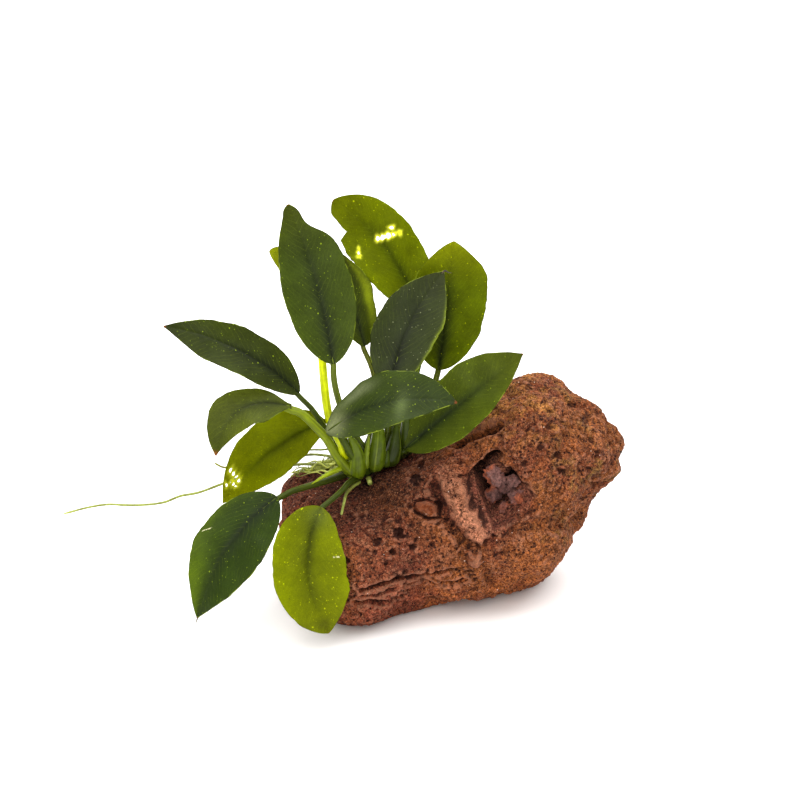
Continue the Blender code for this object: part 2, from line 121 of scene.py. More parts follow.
# From base to bend these are the part's own table, but for the ninth leaf's base_round.
# The nicks and the holes are finer than the part's.
LEAVES = (
    Leaf(base=(-36, -6, 95.6), tip=(-52.7, 10, 153), facing=(0.15, -0.95, 0.25), halves=(13.4, 13),
         root=0.31, leaving=(0.4, -0.7, 0.7), sway=2, stalk=1.35, bend=(-5, 0, 0),
         nicks=((1, 0.86, 3, 0.075), (1, 0.68, -1.1, 0.09), (-1, 0.98, -0.8, 0.03)), body=(50, 62, 15),
         rib=(33, 41, 20), end=(54, 61, 7), stalk_colour=(84, 96, 20), glow=0.16, tip_round=0.8, foot=3.3,
         shaft=1.35, foot_shade_colour=(46, 58, 8), foot_reach=0.27),
    Leaf(base=(-4, 18, 108.5), tip=(-36.8, 34, 148.7), facing=(0.3, -0.85, 0.45), halves=(14.5, 13),
         root=0.76, leaving=(-0.3, 0.6, 0.9), widest=0.52, tip_taper=2.8, sway=5.4, swell=0.6,
         bend=(4, 0, 0), nicks=((-1, 0.97, -1.6, 0.05),), holes=((0.59, 0, 0.8, 1.2),
         (0.575, 0.15, 1, 1.3), (0.56, 0.31, 0.9, 1.2), (0.545, 0.45, 0.6, 0.8), (0.53, 0.62, 0.5, 0.6),
         (0.588, 0.53, 0.75, 0.75), (0.6, -0.7, 0.8, 0.6), (0.575, -0.78, 0.5, 0.4),
         (0.63, -0.62, 0.4, 0.4)), body=(94, 103, 0), rib=(64, 75, 0), end=(91, 97, 0), glow=0.45,
         sheen=0.04, speck_colour=(200, 210, 10), tip_round=0.85, steps=((-1, 0.785, 0.96, 4.6),), foot=3,
         foot_reach=0.27),
    Leaf(base=(-14.4, -2, 84.6), tip=(5.8, 16, 125.4), facing=(-0.1, -0.9, 0.45), halves=(12.6, 12.2),
         root=0.56, leaving=(0.2, -0.5, 0.9), widest=0.52, skew=-0.05, sway=-3.5, swell=0.6,
         body=(38, 46, 15), rib=(25, 31, 13), end=(41, 47, 15), stalk_colour=(84, 96, 20), glow=0.14,
         sheen=0.12, specks=0.2, speck_colour=(150, 156, 110), patches=((0.45, 1, 0.4, 0.07,
         (128, 144, 36), 0.7),), foot=3.5, shaft=1.2, foot_reach=0.27),
    Leaf(base=(4, 12, 87), tip=(9.7, 24, 135), facing=(0.1, -0.95, 0.25), halves=(14, 15.2), root=0.96,
         leaving=(0.3, 0.3, 0.9), widest=0.55, tip_taper=2.1, stalk=1.35, swell=0.5,
         nicks=((1, 0.8, -1.6, 0.1),), body=(84, 95, 2), rib=(44, 54, 16), end=(125, 130, 8),
         stalk_colour=(84, 94, 6), glow=0.45, sheen=0.04, specks=0.35, speck_colour=(200, 210, 10),
         tip_round=0.8, foot=2.8, shaft=1.35, foot_reach=0.27),
    # The fifth leaf's pale grey patches are painted sheen.
    Leaf(base=(-38.5, -22, 74.4), tip=(9.7, -32, 89.5), facing=(-0.2, -0.55, 0.83), halves=(12.6, 13.2),
         root=0.17, leaving=(0.5, -0.8, 0.5), widest=0.5, skew=0.08, base_round=0.72, bow=5, sway=-3.5,
         swell=0.3, body=(38, 50, 5), rib=(25, 36, 6), end=(29, 41, 2), stalk_colour=(66, 80, 12),
         glow=0.12, sheen=0.09, brown=0.75, patches=((0.06, 0, 0.1, 0.9, (122, 128, 88), 0.8), (0.3, -0.75,
         0.12, 0.2, (112, 120, 84), 0.6), (0.62, 0.3, 0.05, 0.5, (96, 110, 62), 0.45)),
         stem=((-25, -7, 53), (-25.8, -11.5, 55.5), (-27.2, -14, 59), (-29.4, -16.2, 63.2),
         (-31.9, -18, 68.8), (-33.6, -19.6, 72.2), (-36, -21.2, 73.6), (-38, -22, 74.3)), foot=3.1,
         shaft=1.5, foot_shade_colour=(44, 58, 4)),
    Leaf(base=(-8.7, -5, 61.3), tip=(34.6, -12, 101.6), facing=(-0.45, -0.8, 0.4), halves=(12.5, 11.5),
         root=0.7, leaving=(0.5, -0.8, 0.2), widest=0.52, skew=0.06, tip_taper=2.1, stalk=1.1, swell=0.6,
         body=(63, 74, 14), rib=(36, 47, 18), end=(68, 76, 10), stalk_colour=(60, 76, 10), glow=0.2,
         foot=2.6, shaft=1.1, foot_reach=0.27),
    Leaf(base=(-24.4, 7, 98.4), tip=(-35, 16, 133.1), facing=(0.6, -0.75, 0.3), halves=(9, 9), root=0.47,
         leaving=(-0.2, 0.7, 0.7), widest=0.48, tip_taper=2.1, cup=0.3, stalk=1.1, swell=0.6,
         bend=(4, 0, 0), body=(56, 65, 11), rib=(43, 51, 20), end=(56, 62, 5), stalk_colour=(92, 98, 24),
         glow=0.35, brown=0.5, patches=((0.5, 0.8, 0.35, 0.18, (140, 152, 20), 0.8),), tip_round=0.85,
         foot=3.2, shaft=1.15, foot_reach=0.27),
    Leaf(base=(-49, -8, 84.7), tip=(-97.5, -18, 114.2), facing=(0.3, -0.65, 0.7), halves=(10.8, 9.8),
         root=0.11, leaving=(-0.4, 0.9, 0.4), widest=0.5, skew=0.08, bow=3, sway=3.4, stalk=1.1, swell=0.5,
         nicks=((1, 0.63, 0.9, 0.08),), body=(43, 51, 11), rib=(24, 31, 10), end=(33, 40, 3),
         stalk_colour=(60, 72, 14), glow=0.12, brown=0.7, shaft=1.15, foot_shade_colour=(60, 74, 8)),
    Leaf(base=(-51.5, -15.5, 82.1), tip=(-79, -29, 67.7), facing=(-0.4, -0.7, 0.6), halves=(10, 9),
         root=0.06, leaving=(-0.4, -0.35, 0.8), widest=0.5, skew=-0.12, base_round=1.15, bow=7, sway=6.5,
         stalk=1.6, swell=0.6, bend=(-4, -1, -3), body=(70, 78, 21), rib=(54, 61, 25), end=(56, 65, 8),
         stalk_colour=(112, 126, 8), glow=0.25, brown=1.2, stem=((-26.5, -9, 52), (-29.4, -12.5, 54.5),
         (-32.2, -14, 57.8), (-35.3, -15, 62.9), (-38.6, -15.2, 69.2), (-43.6, -15.2, 75),
         (-48.4, -15.4, 79.8), (-51.3, -15.5, 82)), foot=2.9, shaft=1.85, foot_shade_colour=(84, 98, 8)),
    Leaf(base=(-39.7, 0, 70.4), tip=(-79.5, -3, 37.7), facing=(0.4, -0.8, 0.4), halves=(9.8, 12.5),
         root=0.25, leaving=(-0.6, 0.8, 0), skew=0.06, bow=1, sway=4, swell=0.5,
         holes=((0.765, 0.72, 0.9, 0.45), (0.775, 0.5, 1, 0.45), (0.785, 0.28, 1, 0.5),
         (0.79, 0.06, 0.9, 0.45), (0.83, 0.42, 0.6, 0.4), (0.835, 0.2, 0.7, 0.4), (0.84, -0.02, 0.5, 0.4),
         (0.87, 0.66, 0.6, 0.5)), body=(111, 117, 0), rib=(80, 89, 0), end=(123, 127, 0),
         stalk_colour=(76, 88, 12), glow=0.45, sheen=0.04, dots=0.3, specks=0.25,
         speck_colour=(200, 210, 10), hole_glow=0.45, foot=2, shaft=1.2),
    Leaf(base=(-57, -26, 50), tip=(-86.6, -42, 7.7), facing=(-0.4, -0.7, 0.6), halves=(16.4, 13.6), root=0,
         leaving=(-0.8, -0.5, 0), tip_taper=2, bow=5, sway=2.6, swell=0.4, bend=(0, 0, -2),
         body=(35, 50, 4), rib=(26, 37, 12), end=(30, 43, 1), stalk_colour=(66, 78, 12), glow=0.14,
         sheen=0.1, patches=((0.85, 0.8, 0.3, 0.5, (78, 98, 2), 0.8), (0.4, 1, 0.3, 0.2, (70, 88, 6),
         0.6)), scratch=(0.46, 0.84, 0.09, 0.33, 0.007), foot=1.8, shaft=1.3, foot_shade_colour=(52, 62, 6)),
    Leaf(base=(-40, -38, 51), tip=(-37, -55, 8.1), facing=(0, -0.92, 0.38), halves=(14.6, 13), root=0.06,
         leaving=(0.5, -0.9, -0.1), widest=0.5, skew=0.08, base_round=0.55, tip_taper=2.6, sway=6.3,
         stalk=1.1, swell=0.5, bend=(1.5, 0, -0.5), body=(109, 118, 0), rib=(66, 74, 4), end=(95, 101, 0),
         stalk_colour=(60, 72, 14), glow=0.4, sheen=0.06, dots=1, specks=0.55, speck_colour=(200, 210, 10),
         patches=((0.04, 0, 0.1, 0.8, (90, 100, 36), 0.8), (0.93, 0.1, 0.05, 0.5, (74, 78, 8), 0.8)),
         tip_round=0.75, scratch=(0.37, -0.76, 0.1, 0.05, 0.011), stem=((-27.5, -11, 51.5),
         (-28.5, -15.5, 52.6), (-30.6, -20.5, 53), (-32.4, -25, 52.4), (-35.6, -31, 51.6),
         (-39.4, -37.4, 50.9)), foot=1.7, shaft=1.1, foot_shade_colour=(46, 56, 6)),
    Leaf(base=(-41.5, 8, 105), tip=(-60.7, 19, 132.7), facing=(0.2, -0.9, 0.35), halves=(6, 8), root=0.36,
         leaving=(-0.4, 0.4, 0.85), widest=0.5, sway=5, cup=0.3, stalk=1.5, swell=0.35, bend=(-8, 7, 0),
         body=(121, 128, 13), rib=(105, 112, 20), end=(133, 140, 4), stalk_colour=(196, 206, 2), glow=0.4,
         sheen=0.05, specks=0.3, speck_colour=(200, 210, 10), tip_round=0.6, stem=((-26.5, -5.5, 54),
         (-30.4, -8, 59.5), (-34, -6.5, 65), (-37.2, -2.5, 69.8), (-38.9, 0, 77), (-39.9, 2, 86.4),
         (-40.6, 4, 95), (-41.3, 7.4, 103.8)), foot=2.6, shaft=1.75, foot_shade_colour=(120, 132, 4)),
)

# ---- Rhizome, stalks and roots ----
RHIZOME_ROUTE = ((-32, -8, 52), (-26, -4, 52), (-19, 1, 53), (-11, 6, 55.5), (-3, 11, 59))
RHIZOME_RADIUS = 3.1
STALK_END_GAP = 1.0
GAP = 0.3
# The separate roots: radius at the start, radius at the end, route.
ROOTS = {
    "root_long": (0.58, 0.44, ((-34, 0, 50), (-42, 10, 48.5), (-56, 15, 46), (-68, 13, 44), (-79, 10, 41),
        (-90, 8, 37.5), (-97, 7, 36.4), (-104, 6, 34), (-112, 6, 33), (-119, 5, 33.4), (-126, 5, 33.6),
        (-134, 4, 32.6), (-143, 4, 30))),
    "root_left": (0.6, 0.4, ((-31, 2, 53), (-37, 8, 52.5), (-45, 13, 51.5), (-53, 17, 49),
        (-62, 17.5, 47.5), (-70, 15, 46.5), (-76, 13, 47.3), (-80, 12.3, 46.3), (-84, 12, 48.3))),
    "root_back": (0.5, 0.35, ((-24, 5, 54), (-32, 13, 54.5), (-41, 17, 52), (-50, 21, 50), (-56, 24, 46))),
    "root_front": (0.75, 0.45, ((-26.5, -13, 50.6), (-29, -18, 50.6), (-31, -23, 50.2),
        (-31.8, -27.4, 48.6), (-32.8, -31.5, 45))),
    "root_stub": (1, 0.8, ((-23, -9, 50.6), (-22.4, -12, 49.8), (-22.6, -14.5, 51.5))),
}

RHIZOME_RINGS = 17
TANGLE_STRANDS = 26
MOSS_TUFTS = 420
ABOVE_STONE = 95.0
SHOULDER = 40.0        # height of the left shoulder, where the fine roots and the moss lie
# Clasping flaps: colour, route from foot to tip, half width, half depth.
SHEATHS = (
    ((112, 126, 10), ((-29, -11, 56.6), (-34, -14.6, 56.6), (-39, -17.6, 55.2), (-44.4, -20.6, 52.8)), 1.5,
     1.1),
    ((72, 86, 6), ((-27.4, -10, 52.6), (-27.3, -13, 55.4), (-27.2, -14, 59), (-27.4, -14.8, 63),
     (-28.6, -15.8, 67.5), (-30.4, -16.8, 71.5)), 3.7, 3.7),
    ((64, 78, 8), ((-20.6, -6, 53.4), (-20.4, -8.8, 56.5), (-19.8, -9.6, 61), (-19.3, -9.4, 66),
     (-19.2, -8, 71), (-19.6, -6.6, 77)), 3.9, 3.9),
    ((38, 48, 6), ((-15, -4, 54.2), (-14.4, -5.6, 57), (-13.3, -5.6, 61), (-12.7, -4.8, 66),
     (-12.2, -3.8, 72)), 3.5, 3.5),
    ((46, 58, 6), ((-16.6, -7.4, 54.6), (-16.2, -8.6, 58), (-15.8, -8.4, 62)), 1.8, 1.8),
    ((44, 56, 6), ((-9.4, 0, 57), (-8.8, -1.4, 61), (-8.6, -1.2, 68), (-8.4, -0.8, 78)), 2.9, 2.9),
    ((150, 160, 4), ((-30.6, -10.6, 58.8), (-32.6, -15.6, 63.6), (-33.8, -16.6, 68.4), (-35.4, -16, 73.6)),
     1.5, 1.2),
    ((92, 106, 20), ((-23.6, -10.6, 55), (-24, -12.4, 58.5), (-23.4, -11.6, 63.5), (-22.6, -10.4, 69)),
     1.5, 1.5),
)
# Dried threads at two of the leaf tips: route, radius.
THREADS = (
    (((5, 15.6, 124.8), (6.2, 15.8, 125.6), (7.4, 15.4, 125), (8.6, 15.2, 124.9)), 0.4),
    (((-86.2, -41.8, 8.6), (-86.8, -42, 7), (-87.3, -41.6, 5.4)), 0.34),
)

# ---- Stone ----
STONE_VOXEL = 1.15
BOWLS = 5600
VESICLE_REACH = 7.0
FRONT = (0.0, -0.94, 0.34)

# Moves of the whole surface: centre, reach, how far it moves along X, Y and Z.
PUSHES = (
    ((68, 6, 71), 8, (2.6, 0, 2.6)),
    ((76, 6, 60), 8, (1.8, 0, -0.6)),
    ((61, 2, 31), 5.5, (-5, 1, 0.5)),
    ((73, 4, 45), 7, (2.4, 0, 0)),
    ((56, 2, 16), 9, (3.4, 0, 0.5)),
    ((48, -6, 3), 8, (-1.6, 1, 1.6)),
    ((8, -28, 6), 10, (0, -3.5, 0)),
    ((30, -10, 90), 9, (-1, 0, 1.5)),
    ((42, -27, 24), 13, (0, -5.5, 0)),
    ((-14, -40, 30), 14, (0, -2, 1)),
)

# Ridges (height above 0) and grooves: route, half width of the flat top, width of its slope, height.
# The pale pillar beside the pocket fades out at its top.
PILLAR = (((6.6, -19, 58), (9.6, -25.8, 51.5), (13.6, -30.4, 45), (18.4, -32.1, 38)),
          2.4, 3.6, 2.2)
PILLAR_TOP = 61.0
PILLAR_FADE = 9.0
SHARD = (((-3.6, -26.2, 46.4), (0.6, -27.2, 45.6)), 1, 1.6, 1.2)
STROKES = (
    PILLAR,
    SHARD,
    # the valley at the left of the pillar
    (((1.5, -22, 53.5), (3.4, -26, 49), (4.8, -28.5, 44.5), (8.2, -31.5, 39.5), (12.1, -32.2, 35),
     (16.6, -32.6, 32.6)), 0.8, 2.4, -3.2),
    # the crack around the shard
    (((-5.8, -25, 47.9), (-0.9, -25.7, 48.9), (3.4, -26.6, 46.9), (3, -29.1, 42.9), (-0.9, -28.5, 42.1),
     (-5.2, -26.8, 44.8), (-5.8, -25, 47.9)), 0.15, 0.9, -2.6),
    # layers and cracks along the foot
    (((-25, -47, 20.8), (-21, -46, 22.2), (-16.9, -43.7, 22.1), (-12.1, -40.7, 22.7), (-4.6, -34.9, 20.8),
     (2.1, -33.9, 21.5), (7, -34.1, 22.9), (14.5, -32.7, 21.8)), 0.2, 1.1, -3.2),
    (((-9, -36, 16.6), (-2, -33, 17.6), (2.2, -29.5, 14.9), (7.1, -30.9, 16.4), (13.5, -30.9, 18.1)), 0.3,
     1.4, -3.6),
    (((-30, -46, 14), (-22, -45, 15), (-12, -38, 13), (-4, -31, 11)), 0.3, 1.5, -3.2),
    (((-27, -47.5, 17.6), (-17, -43.5, 18.6), (-8, -37, 19.2)), 0.2, 1, -2.4),
    # the step between the mound and the lobe at the right
    (((22.6, -33.5, 33.5), (30, -31.6, 38), (39.5, -28.8, 40.4), (49.4, -22.8, 38), (59.6, 4.5, 28.9)),
     0.3, 4.2, -2.6),
    (((20, -33, 27), (22, -30, 19), (26.9, -21.2, 10.5)), 0.2, 3, -1.8),
    # the open foot of the pocket
    (((24.5, -31, 38.6), (31, -30, 42.4), (38.5, -27.5, 46.2)), 0.5, 3, -2.2),
    # the knob below the pillar
    (((16.8, -33.4, 29.8), (17.6, -33.2, 27.4)), 1.6, 1.8, 3.2),
    # the recess below the leaves
    (((10, -6, 64.5), (14, -6, 67), (18.6, -7.5, 69.2), (24.9, -9.4, 73)), 0.8, 3, -6),
    # the crease and the boss at the right end
    (((59.7, -13.1, 50.2), (62.5, -8, 47), (65.5, 1.4, 43.6), (68, 6, 42.5)), 0.2, 1.8, -2.6),
    (((66.5, -9, 67), (70, -8.5, 60), (69, -9, 55)), 0.2, 1.6, -1.3),
    # shallow furrows on the upper face
    (((38, -20, 66), (46, -19, 64), (54, -17, 66)), 0.2, 1.8, -0.9),
    (((44, -14, 74), (54, -10, 72.5), (62, -6, 69.5)), 0.2, 1.8, -1.1),
    # the back: two cracks and a ridge
    (((-40, 40, 26), (-22, 47, 24), (-4, 50, 22), (14, 49, 25), (34, 44, 22)), 0.1, 1.3, -2.2),
    (((8, 46, 46), (20, 46, 40), (30, 44, 30)), 0.2, 2, -2.4),
    (((-24, 40, 42), (-12, 46, 38), (2, 49, 38)), 1.8, 2.6, 1.6),
    (((66, 20, 40), (60, 28, 34), (50, 34, 26)), 0.2, 2, -2.2),
)

# Named vesicles: centre, radius, depth.
VESICLES = (
    ((-5, -16.1, 53.1), 2.1, 2.8), ((-3.4, -8, 55.2), 1.3, 1.4), ((-11.2, -33.3, 38.2), 2.3, 2.6),
    ((-19.1, -37.9, 36.9), 1.9, 1.8), ((-13.2, -38.4, 33.1), 1.4, 1.3), ((-20, -41.1, 34.1), 1.1, 1.3),
    ((-6.5, -33.8, 32.8), 1.4, 1.6), ((-5, -31.7, 35.3), 0.9, 1), ((-25.2, -28.6, 42.9), 1, 1),
    ((-27.2, -41.1, 36.9), 0.9, 0.9), ((-17.8, -15.2, 48), 1.2, 1.2), ((-12.1, -40.7, 23.6), 1.5, 1.8),
    ((-8.4, -34.6, 37.6), 1.1, 1.2), ((49.3, -20.9, 58.3), 1.1, 2), ((50.6, -20.6, 57.9), 0.9, 1.6),
    ((5.8, -30.2, 42.4), 1.2, 1.6), ((8, -31.2, 40.2), 1, 1.4), ((59.3, -1.4, 71.4), 2, 1.4),
    ((54.8, 6, 74.8), 1.6, 1.2), ((63.5, -12, 52), 1.4, 1.2), ((1, -31, 33), 1.2, 1.2),
    ((3, -33, 27), 1, 1),
)

# The pocket: points inside this outline, in x and z, sink further.
POCKET = ((10.6, 57.2), (18.5, 61.6), (25, 64.6), (30.2, 62), (35, 56), (41.5, 48.5),
          (34, 43), (28, 37.6), (21, 35), (15.4, 46))
POCKET_SINK = 7.5
POCKET_FOOT = (21.0, 35.0)     # its lowest corner, in x and z
POCKET_UP = (-0.55, 0.835)     # the direction from its foot to its top, in x and z
POCKET_RISE = 9.0              # the sink grows to its full depth over this length
# Lumps inside the pocket: centre, radius.
LUMPS = (((24.8, -18.6, 55.6), 3.7), ((31.4, -19.6, 53.6), 2.2), ((33.8, -20.2, 47.4), 3),
         ((24, -15.6, 46.4), 3.2), ((29.4, -15.6, 50.2), 2.6), ((28.6, -19.6, 42.6), 2.2))

# ---- Stage ----
FLOOR_HALF = 9000.0
CAMERA_TARGET = (-11.0, 0.0, 79.0)
CAMERA_DISTANCE = 720.0
CAMERA_TILT = 20.0     # degrees below the level


# ---- Helpers ----
def linear(colour):
    """A colour of 0 to 255 as linear light."""
    values = np.asarray(colour, float) / 255
    return np.where(values <= 0.04045, values / 12.92, ((values + 0.055) / 1.055) ** 2.4)


def rgb(*colour):
    return tuple(linear(colour).tolist())


def unit(vectors):
    vectors = np.asarray(vectors, float)
    return vectors / np.maximum(np.linalg.norm(vectors, axis=-1, keepdims=True), 1e-12)


def smooth_share(value):
    value = np.clip(value, 0, 1)
    return value * value * (3 - 2 * value)


def linked(name, data):
    obj = bpy.data.objects.new(name, data)
    bpy.context.scene.collection.objects.link(obj)
    return obj


def add_vectors(mesh, key, values):
    layer = mesh.attributes.new(key, "FLOAT_VECTOR", "POINT")
    layer.data.foreach_set("vector", np.asarray(values, np.float32).ravel())


def mesh_object(name, points, faces, vectors=None):
    """A smooth-shaded mesh object. Points are in millimetres, vectors are its attributes."""
    mesh = bpy.data.meshes.new(name)
    mesh.from_pydata((np.asarray(points) * MM).tolist(), [], faces)
    mesh.update()
    mesh.shade_smooth()
    for key, values in (vectors or {}).items():
        add_vectors(mesh, key, values)
    return linked(name, mesh)


def place_piece(obj, material, slot, *nodes):
    obj.data.materials.clear()
    obj.data.materials.append(material)
    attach(obj, "root")
    if nodes:
        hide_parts(*nodes)


def smooth_route(points, count):
    """Points along the Catmull-Rom curve that passes through the route's own points."""
    knots = np.asarray(points, float)
    knots = np.vstack((2 * knots[0] - knots[1], knots, 2 * knots[-1] - knots[-2]))
    spans = len(knots) - 3
    place = np.linspace(0, spans, count)
    span = np.minimum(place.astype(int), spans - 1)
    t = (place - span)[:, None]
    a, b, c, d = (knots[span + k] for k in range(4))
    return 0.5 * (2 * b + (c - a) * t + (2 * a - 5 * b + 4 * c - d) * t ** 2
                  + (3 * b - a - 3 * c + d) * t ** 3)


def tube(name, route, radius, sides):
    """A closed tube. radius(place, angle) gives the radius from 0 to 1 along it, in millimetres."""
    route = np.asarray(route, float)
    count = len(route)
    headings = unit(np.gradient(route, axis=0))
    across = np.cross(headings[0], (0.0, 0.0, 1.0))
    if np.linalg.norm(across) < 0.1:
        across = np.cross(headings[0], (0.0, 1.0, 0.0))
    along = np.concatenate(([0], np.cumsum(np.linalg.norm(np.diff(route, axis=0), axis=1))))
    angles = np.arange(sides) * 2 * np.pi / sides
    points, places = [], []
    for here, heading, length in zip(route, headings, along):
        across = unit(across - heading * across.dot(heading))
        up = np.cross(across, heading)
        place = length / along[-1]
        radii = np.array([radius(place, angle) for angle in angles])
        points.append(here + (np.cos(angles) * radii)[:, None] * across
                      + (np.sin(angles) * radii)[:, None] * up)
        places.append(np.stack((angles, np.full(sides, length), np.full(sides, place)), 1))
    points = np.vstack((*points, route[0], route[-1]))
    places = np.vstack((*places, (0, 0, 0), (0, along[-1], 1)))
    last = (count - 1) * sides
    faces = []
    for k in range(sides):
        j = (k + 1) % sides
        faces += [(i + k, i + j, i + sides + j, i + sides + k) for i in range(0, last, sides)]
        faces += [(count * sides, j, k), (count * sides + 1, last + k, last + j)]
    return mesh_object(name, points, faces, {"along": places})


# ---- Node materials ----
class Value:
    """A number socket of a material. Its sums, products and comparisons are math nodes."""

    def __init__(self, nodes, socket):
        self.nodes = nodes
        self.socket = socket

    def math(self, operation, other=0.0):
        node = self.nodes.tree.nodes.new("ShaderNodeMath")
        node.operation = operation
        self.nodes.set(node.inputs[0], self)
        self.nodes.set(node.inputs[1], other)
        return Value(self.nodes, node.outputs[0])

    def __add__(self, other):
        return self.math("ADD", other)

    def __sub__(self, other):
        return self.math("SUBTRACT", other)

    def __mul__(self, other):
        return self.math("MULTIPLY", other)

    def __lt__(self, other):
        return self.math("LESS_THAN", other)

    def __gt__(self, other):
        return self.math("GREATER_THAN", other)

    def span(self, low, high, to_low=0.0, to_high=1.0):
        """The value taken from the range low..high to the range to_low..to_high, and held there."""
        node = self.nodes.tree.nodes.new("ShaderNodeMapRange")
        node.interpolation_type = "SMOOTHSTEP"
        for socket, number in zip(node.inputs, (self, low, high, to_low, to_high)):
            self.nodes.set(socket, number)
        return Value(self.nodes, node.outputs["Result"])


class Nodes:
    """The nodes of one material. colour is what its layers have made so far."""

    def __init__(self, name):
        self.material = bpy.data.materials.new(name)
        self.material.use_nodes = True
        self.tree = self.material.node_tree
        self.colour = None

    def set(self, socket, value):
        value = value.socket if isinstance(value, Value) else value
        if isinstance(value, bpy.types.NodeSocket):
            self.tree.links.new(value, socket)
        elif isinstance(value, tuple) and socket.type == "RGBA":
            socket.default_value = (*value, 1.0)
        else:
            socket.default_value = value

    def make(self, kind, **inputs):
        node = self.tree.nodes.new(kind)
        for key, value in inputs.items():
            self.set(node.inputs[key], value)
        return node

    def attribute(self, name):
        node = self.tree.nodes.new("ShaderNodeAttribute")
        node.attribute_name = name
        return node.outputs["Vector"]

    def where(self):
        return self.tree.nodes.new("ShaderNodeTexCoord").outputs["Object"]

    def split(self, vector):
        return [Value(self, s) for s in self.make("ShaderNodeSeparateXYZ", Vector=vector).outputs]

    def noise(self, size, detail=3.0, roughness=0.55, vector=None, distortion=0.0):
        """Noise whose features are about size millimetres across."""
        node = self.make("ShaderNodeTexNoise", Vector=vector or self.where(), Scale=1 / (size * MM),
                         Detail=detail, Roughness=roughness, Distortion=distortion)
        return Value(self, node.outputs["Fac"])

    def cells(self, size):
        """The distance to the middle of a cell and the cell's own random number."""
        node = self.make("ShaderNodeTexVoronoi", Vector=self.where(), Scale=1 / (size * MM))
        return Value(self, node.outputs["Distance"]), Value(self, node.outputs["Color"])

    def dots(self, size, bare, largest):
        """A round dot in every cell whose random number is above bare, up to the largest radius."""
        distance, number = self.cells(size)
        return distance < number.span(bare, 1.0, 0.0, largest)

    def pores(self, size, low, high):
        """Soft round holes in most cells."""
        distance, number = self.cells(size)
        return (number.span(0.2, 1.0, 0.0, 0.42) - distance).span(low, high)

    def streaks(self, across, along, low, high):
        """A tone from low to high in streaks that run along a tube."""
        vector = self.make("ShaderNodeCombineXYZ", X=across, Y=along).outputs[0]
        return self.noise(1.0, 3.0, 0.6, vector).span(0.3, 0.7, low, high)

    def mix(self, share, a, b):
        node = self.tree.nodes.new("ShaderNodeMix")
        node.data_type = "RGBA"
        for socket, value in zip((node.inputs["Factor"], node.inputs[6], node.inputs[7]), (share, a, b)):
            self.set(socket, value)
        return node.outputs[2]

    def scaled(self, colour, amount):
        node = self.tree.nodes.new("ShaderNodeVectorMath")
        node.operation = "SCALE"
        self.set(node.inputs[0], colour)
        self.set(node.inputs["Scale"], amount)
        return node.outputs[0]

    def ground(self, share, first, second):
        """The first layer: two colours of 0 to 255."""
        self.colour = self.mix(share, rgb(*first), rgb(*second))

    def tint(self, share, colour):
        """A layer over the others: a colour of 0 to 255."""
        self.colour = self.mix(share, self.colour, rgb(*colour))

    def shade(self, tone):
        self.colour = self.scaled(self.colour, tone)

    def bump(self, height, distance, strength=1.0):
        node = self.make("ShaderNodeBump", Height=height, Distance=distance * MM, Strength=strength)
        return node.outputs["Normal"]

    def finish(self, roughness, normal=None, sheen=0.5, through=0.0, lighter=1.0):
        """The material. through is the share of light that passes, in a lighter colour."""
        shader = self.tree.nodes["Principled BSDF"]
        self.set(shader.inputs["Base Color"], self.colour)
        self.set(shader.inputs["Roughness"], roughness)
        self.set(shader.inputs["Specular IOR Level"], sheen)
        if normal:
            self.set(shader.inputs["Normal"], normal)
        if through:
            behind = self.make("ShaderNodeBsdfTranslucent", Color=self.scaled(self.colour, lighter),
                               Normal=normal)
            both = self.make("ShaderNodeMixShader", Fac=through)
            self.set(both.inputs[1], shader.outputs[0])
            self.set(both.inputs[2], behind.outputs[0])
            self.set(self.tree.nodes["Material Output"].inputs["Surface"], both.outputs[0])
        return self.material


# ---- Leaf blades ----
def half_width(leaf, side, place):
    """The blade's half width, from 0 at its base to 1 at its tip. side and place are arrays."""
    widest = leaf.widest - side * leaf.skew
    near = 1 - np.clip(place / widest, 0, 1)
    far = np.clip((place - widest) / (1 - widest), 0, 1)
    shape = np.where(place < widest, (1 - near ** BASE_CURVE) ** leaf.base_round,
                     (1 - far ** leaf.tip_taper) ** leaf.tip_round)
    width = np.where(side < 0, leaf.halves[0], leaf.halves[1]) * shape
    for nick_side, nick_place, depth, reach in leaf.nicks:
        width = width - (side == nick_side) * depth * np.exp(-((place - nick_place) / reach) ** 2)
    for step_side, start, end, depth in leaf.steps:
        share = np.clip((end - place) / (end - start), 0, 1) * (place > start)
        width = width - (side == step_side) * depth * share
    end_width = BASE_WIDTH + (TIP_WIDTH - BASE_WIDTH) * place
    return np.hypot(np.maximum(width, 0), end_width / 2)


def blade_surface(leaf, place, across):
    """The blade's middle surface, the direction up, the half width and the blade's length."""
    base, tip = np.array(leaf.base, float), np.array(leaf.tip, float)
    length = np.linalg.norm(tip - base)
    along = (tip - base) / length
    up = np.array(leaf.facing, float)
    up = unit(up - along * up.dot(along))
    bow = up * leaf.bow + np.cross(along, up) * leaf.sway
    arch = 4 * place * (1 - place)
    middle = base + (tip - base) * place[..., None] + bow * arch[..., None]
    heading = unit(along * length + bow * (4 * (1 - 2 * place))[..., None])
    up = unit(up - heading * (heading * up).sum(-1, keepdims=True))
    side = np.where(across > 0, 1, -1)
    width = half_width(leaf, side, place)
    phase = 2 * np.pi * RIPPLES * place + np.where(side > 0, 0, LEFT_RIPPLE_SHIFT)
    wave = RIPPLE_HEIGHT * across ** 2 * np.sin(phase) * arch
    lift = leaf.cup * width * across ** 2 + wave
    points = middle + np.cross(heading, up) * (across * width)[..., None] + up * lift[..., None]
    return points, up, width, length


def hole_radius(angle, seed):
    """An uneven outline of about 1."""
    return (1 + 0.16 * np.sin(2 * angle + seed) + 0.13 * np.sin(3 * angle + 2.3 * seed)
            + 0.10 * np.sin(5 * angle + 4.1 * seed))


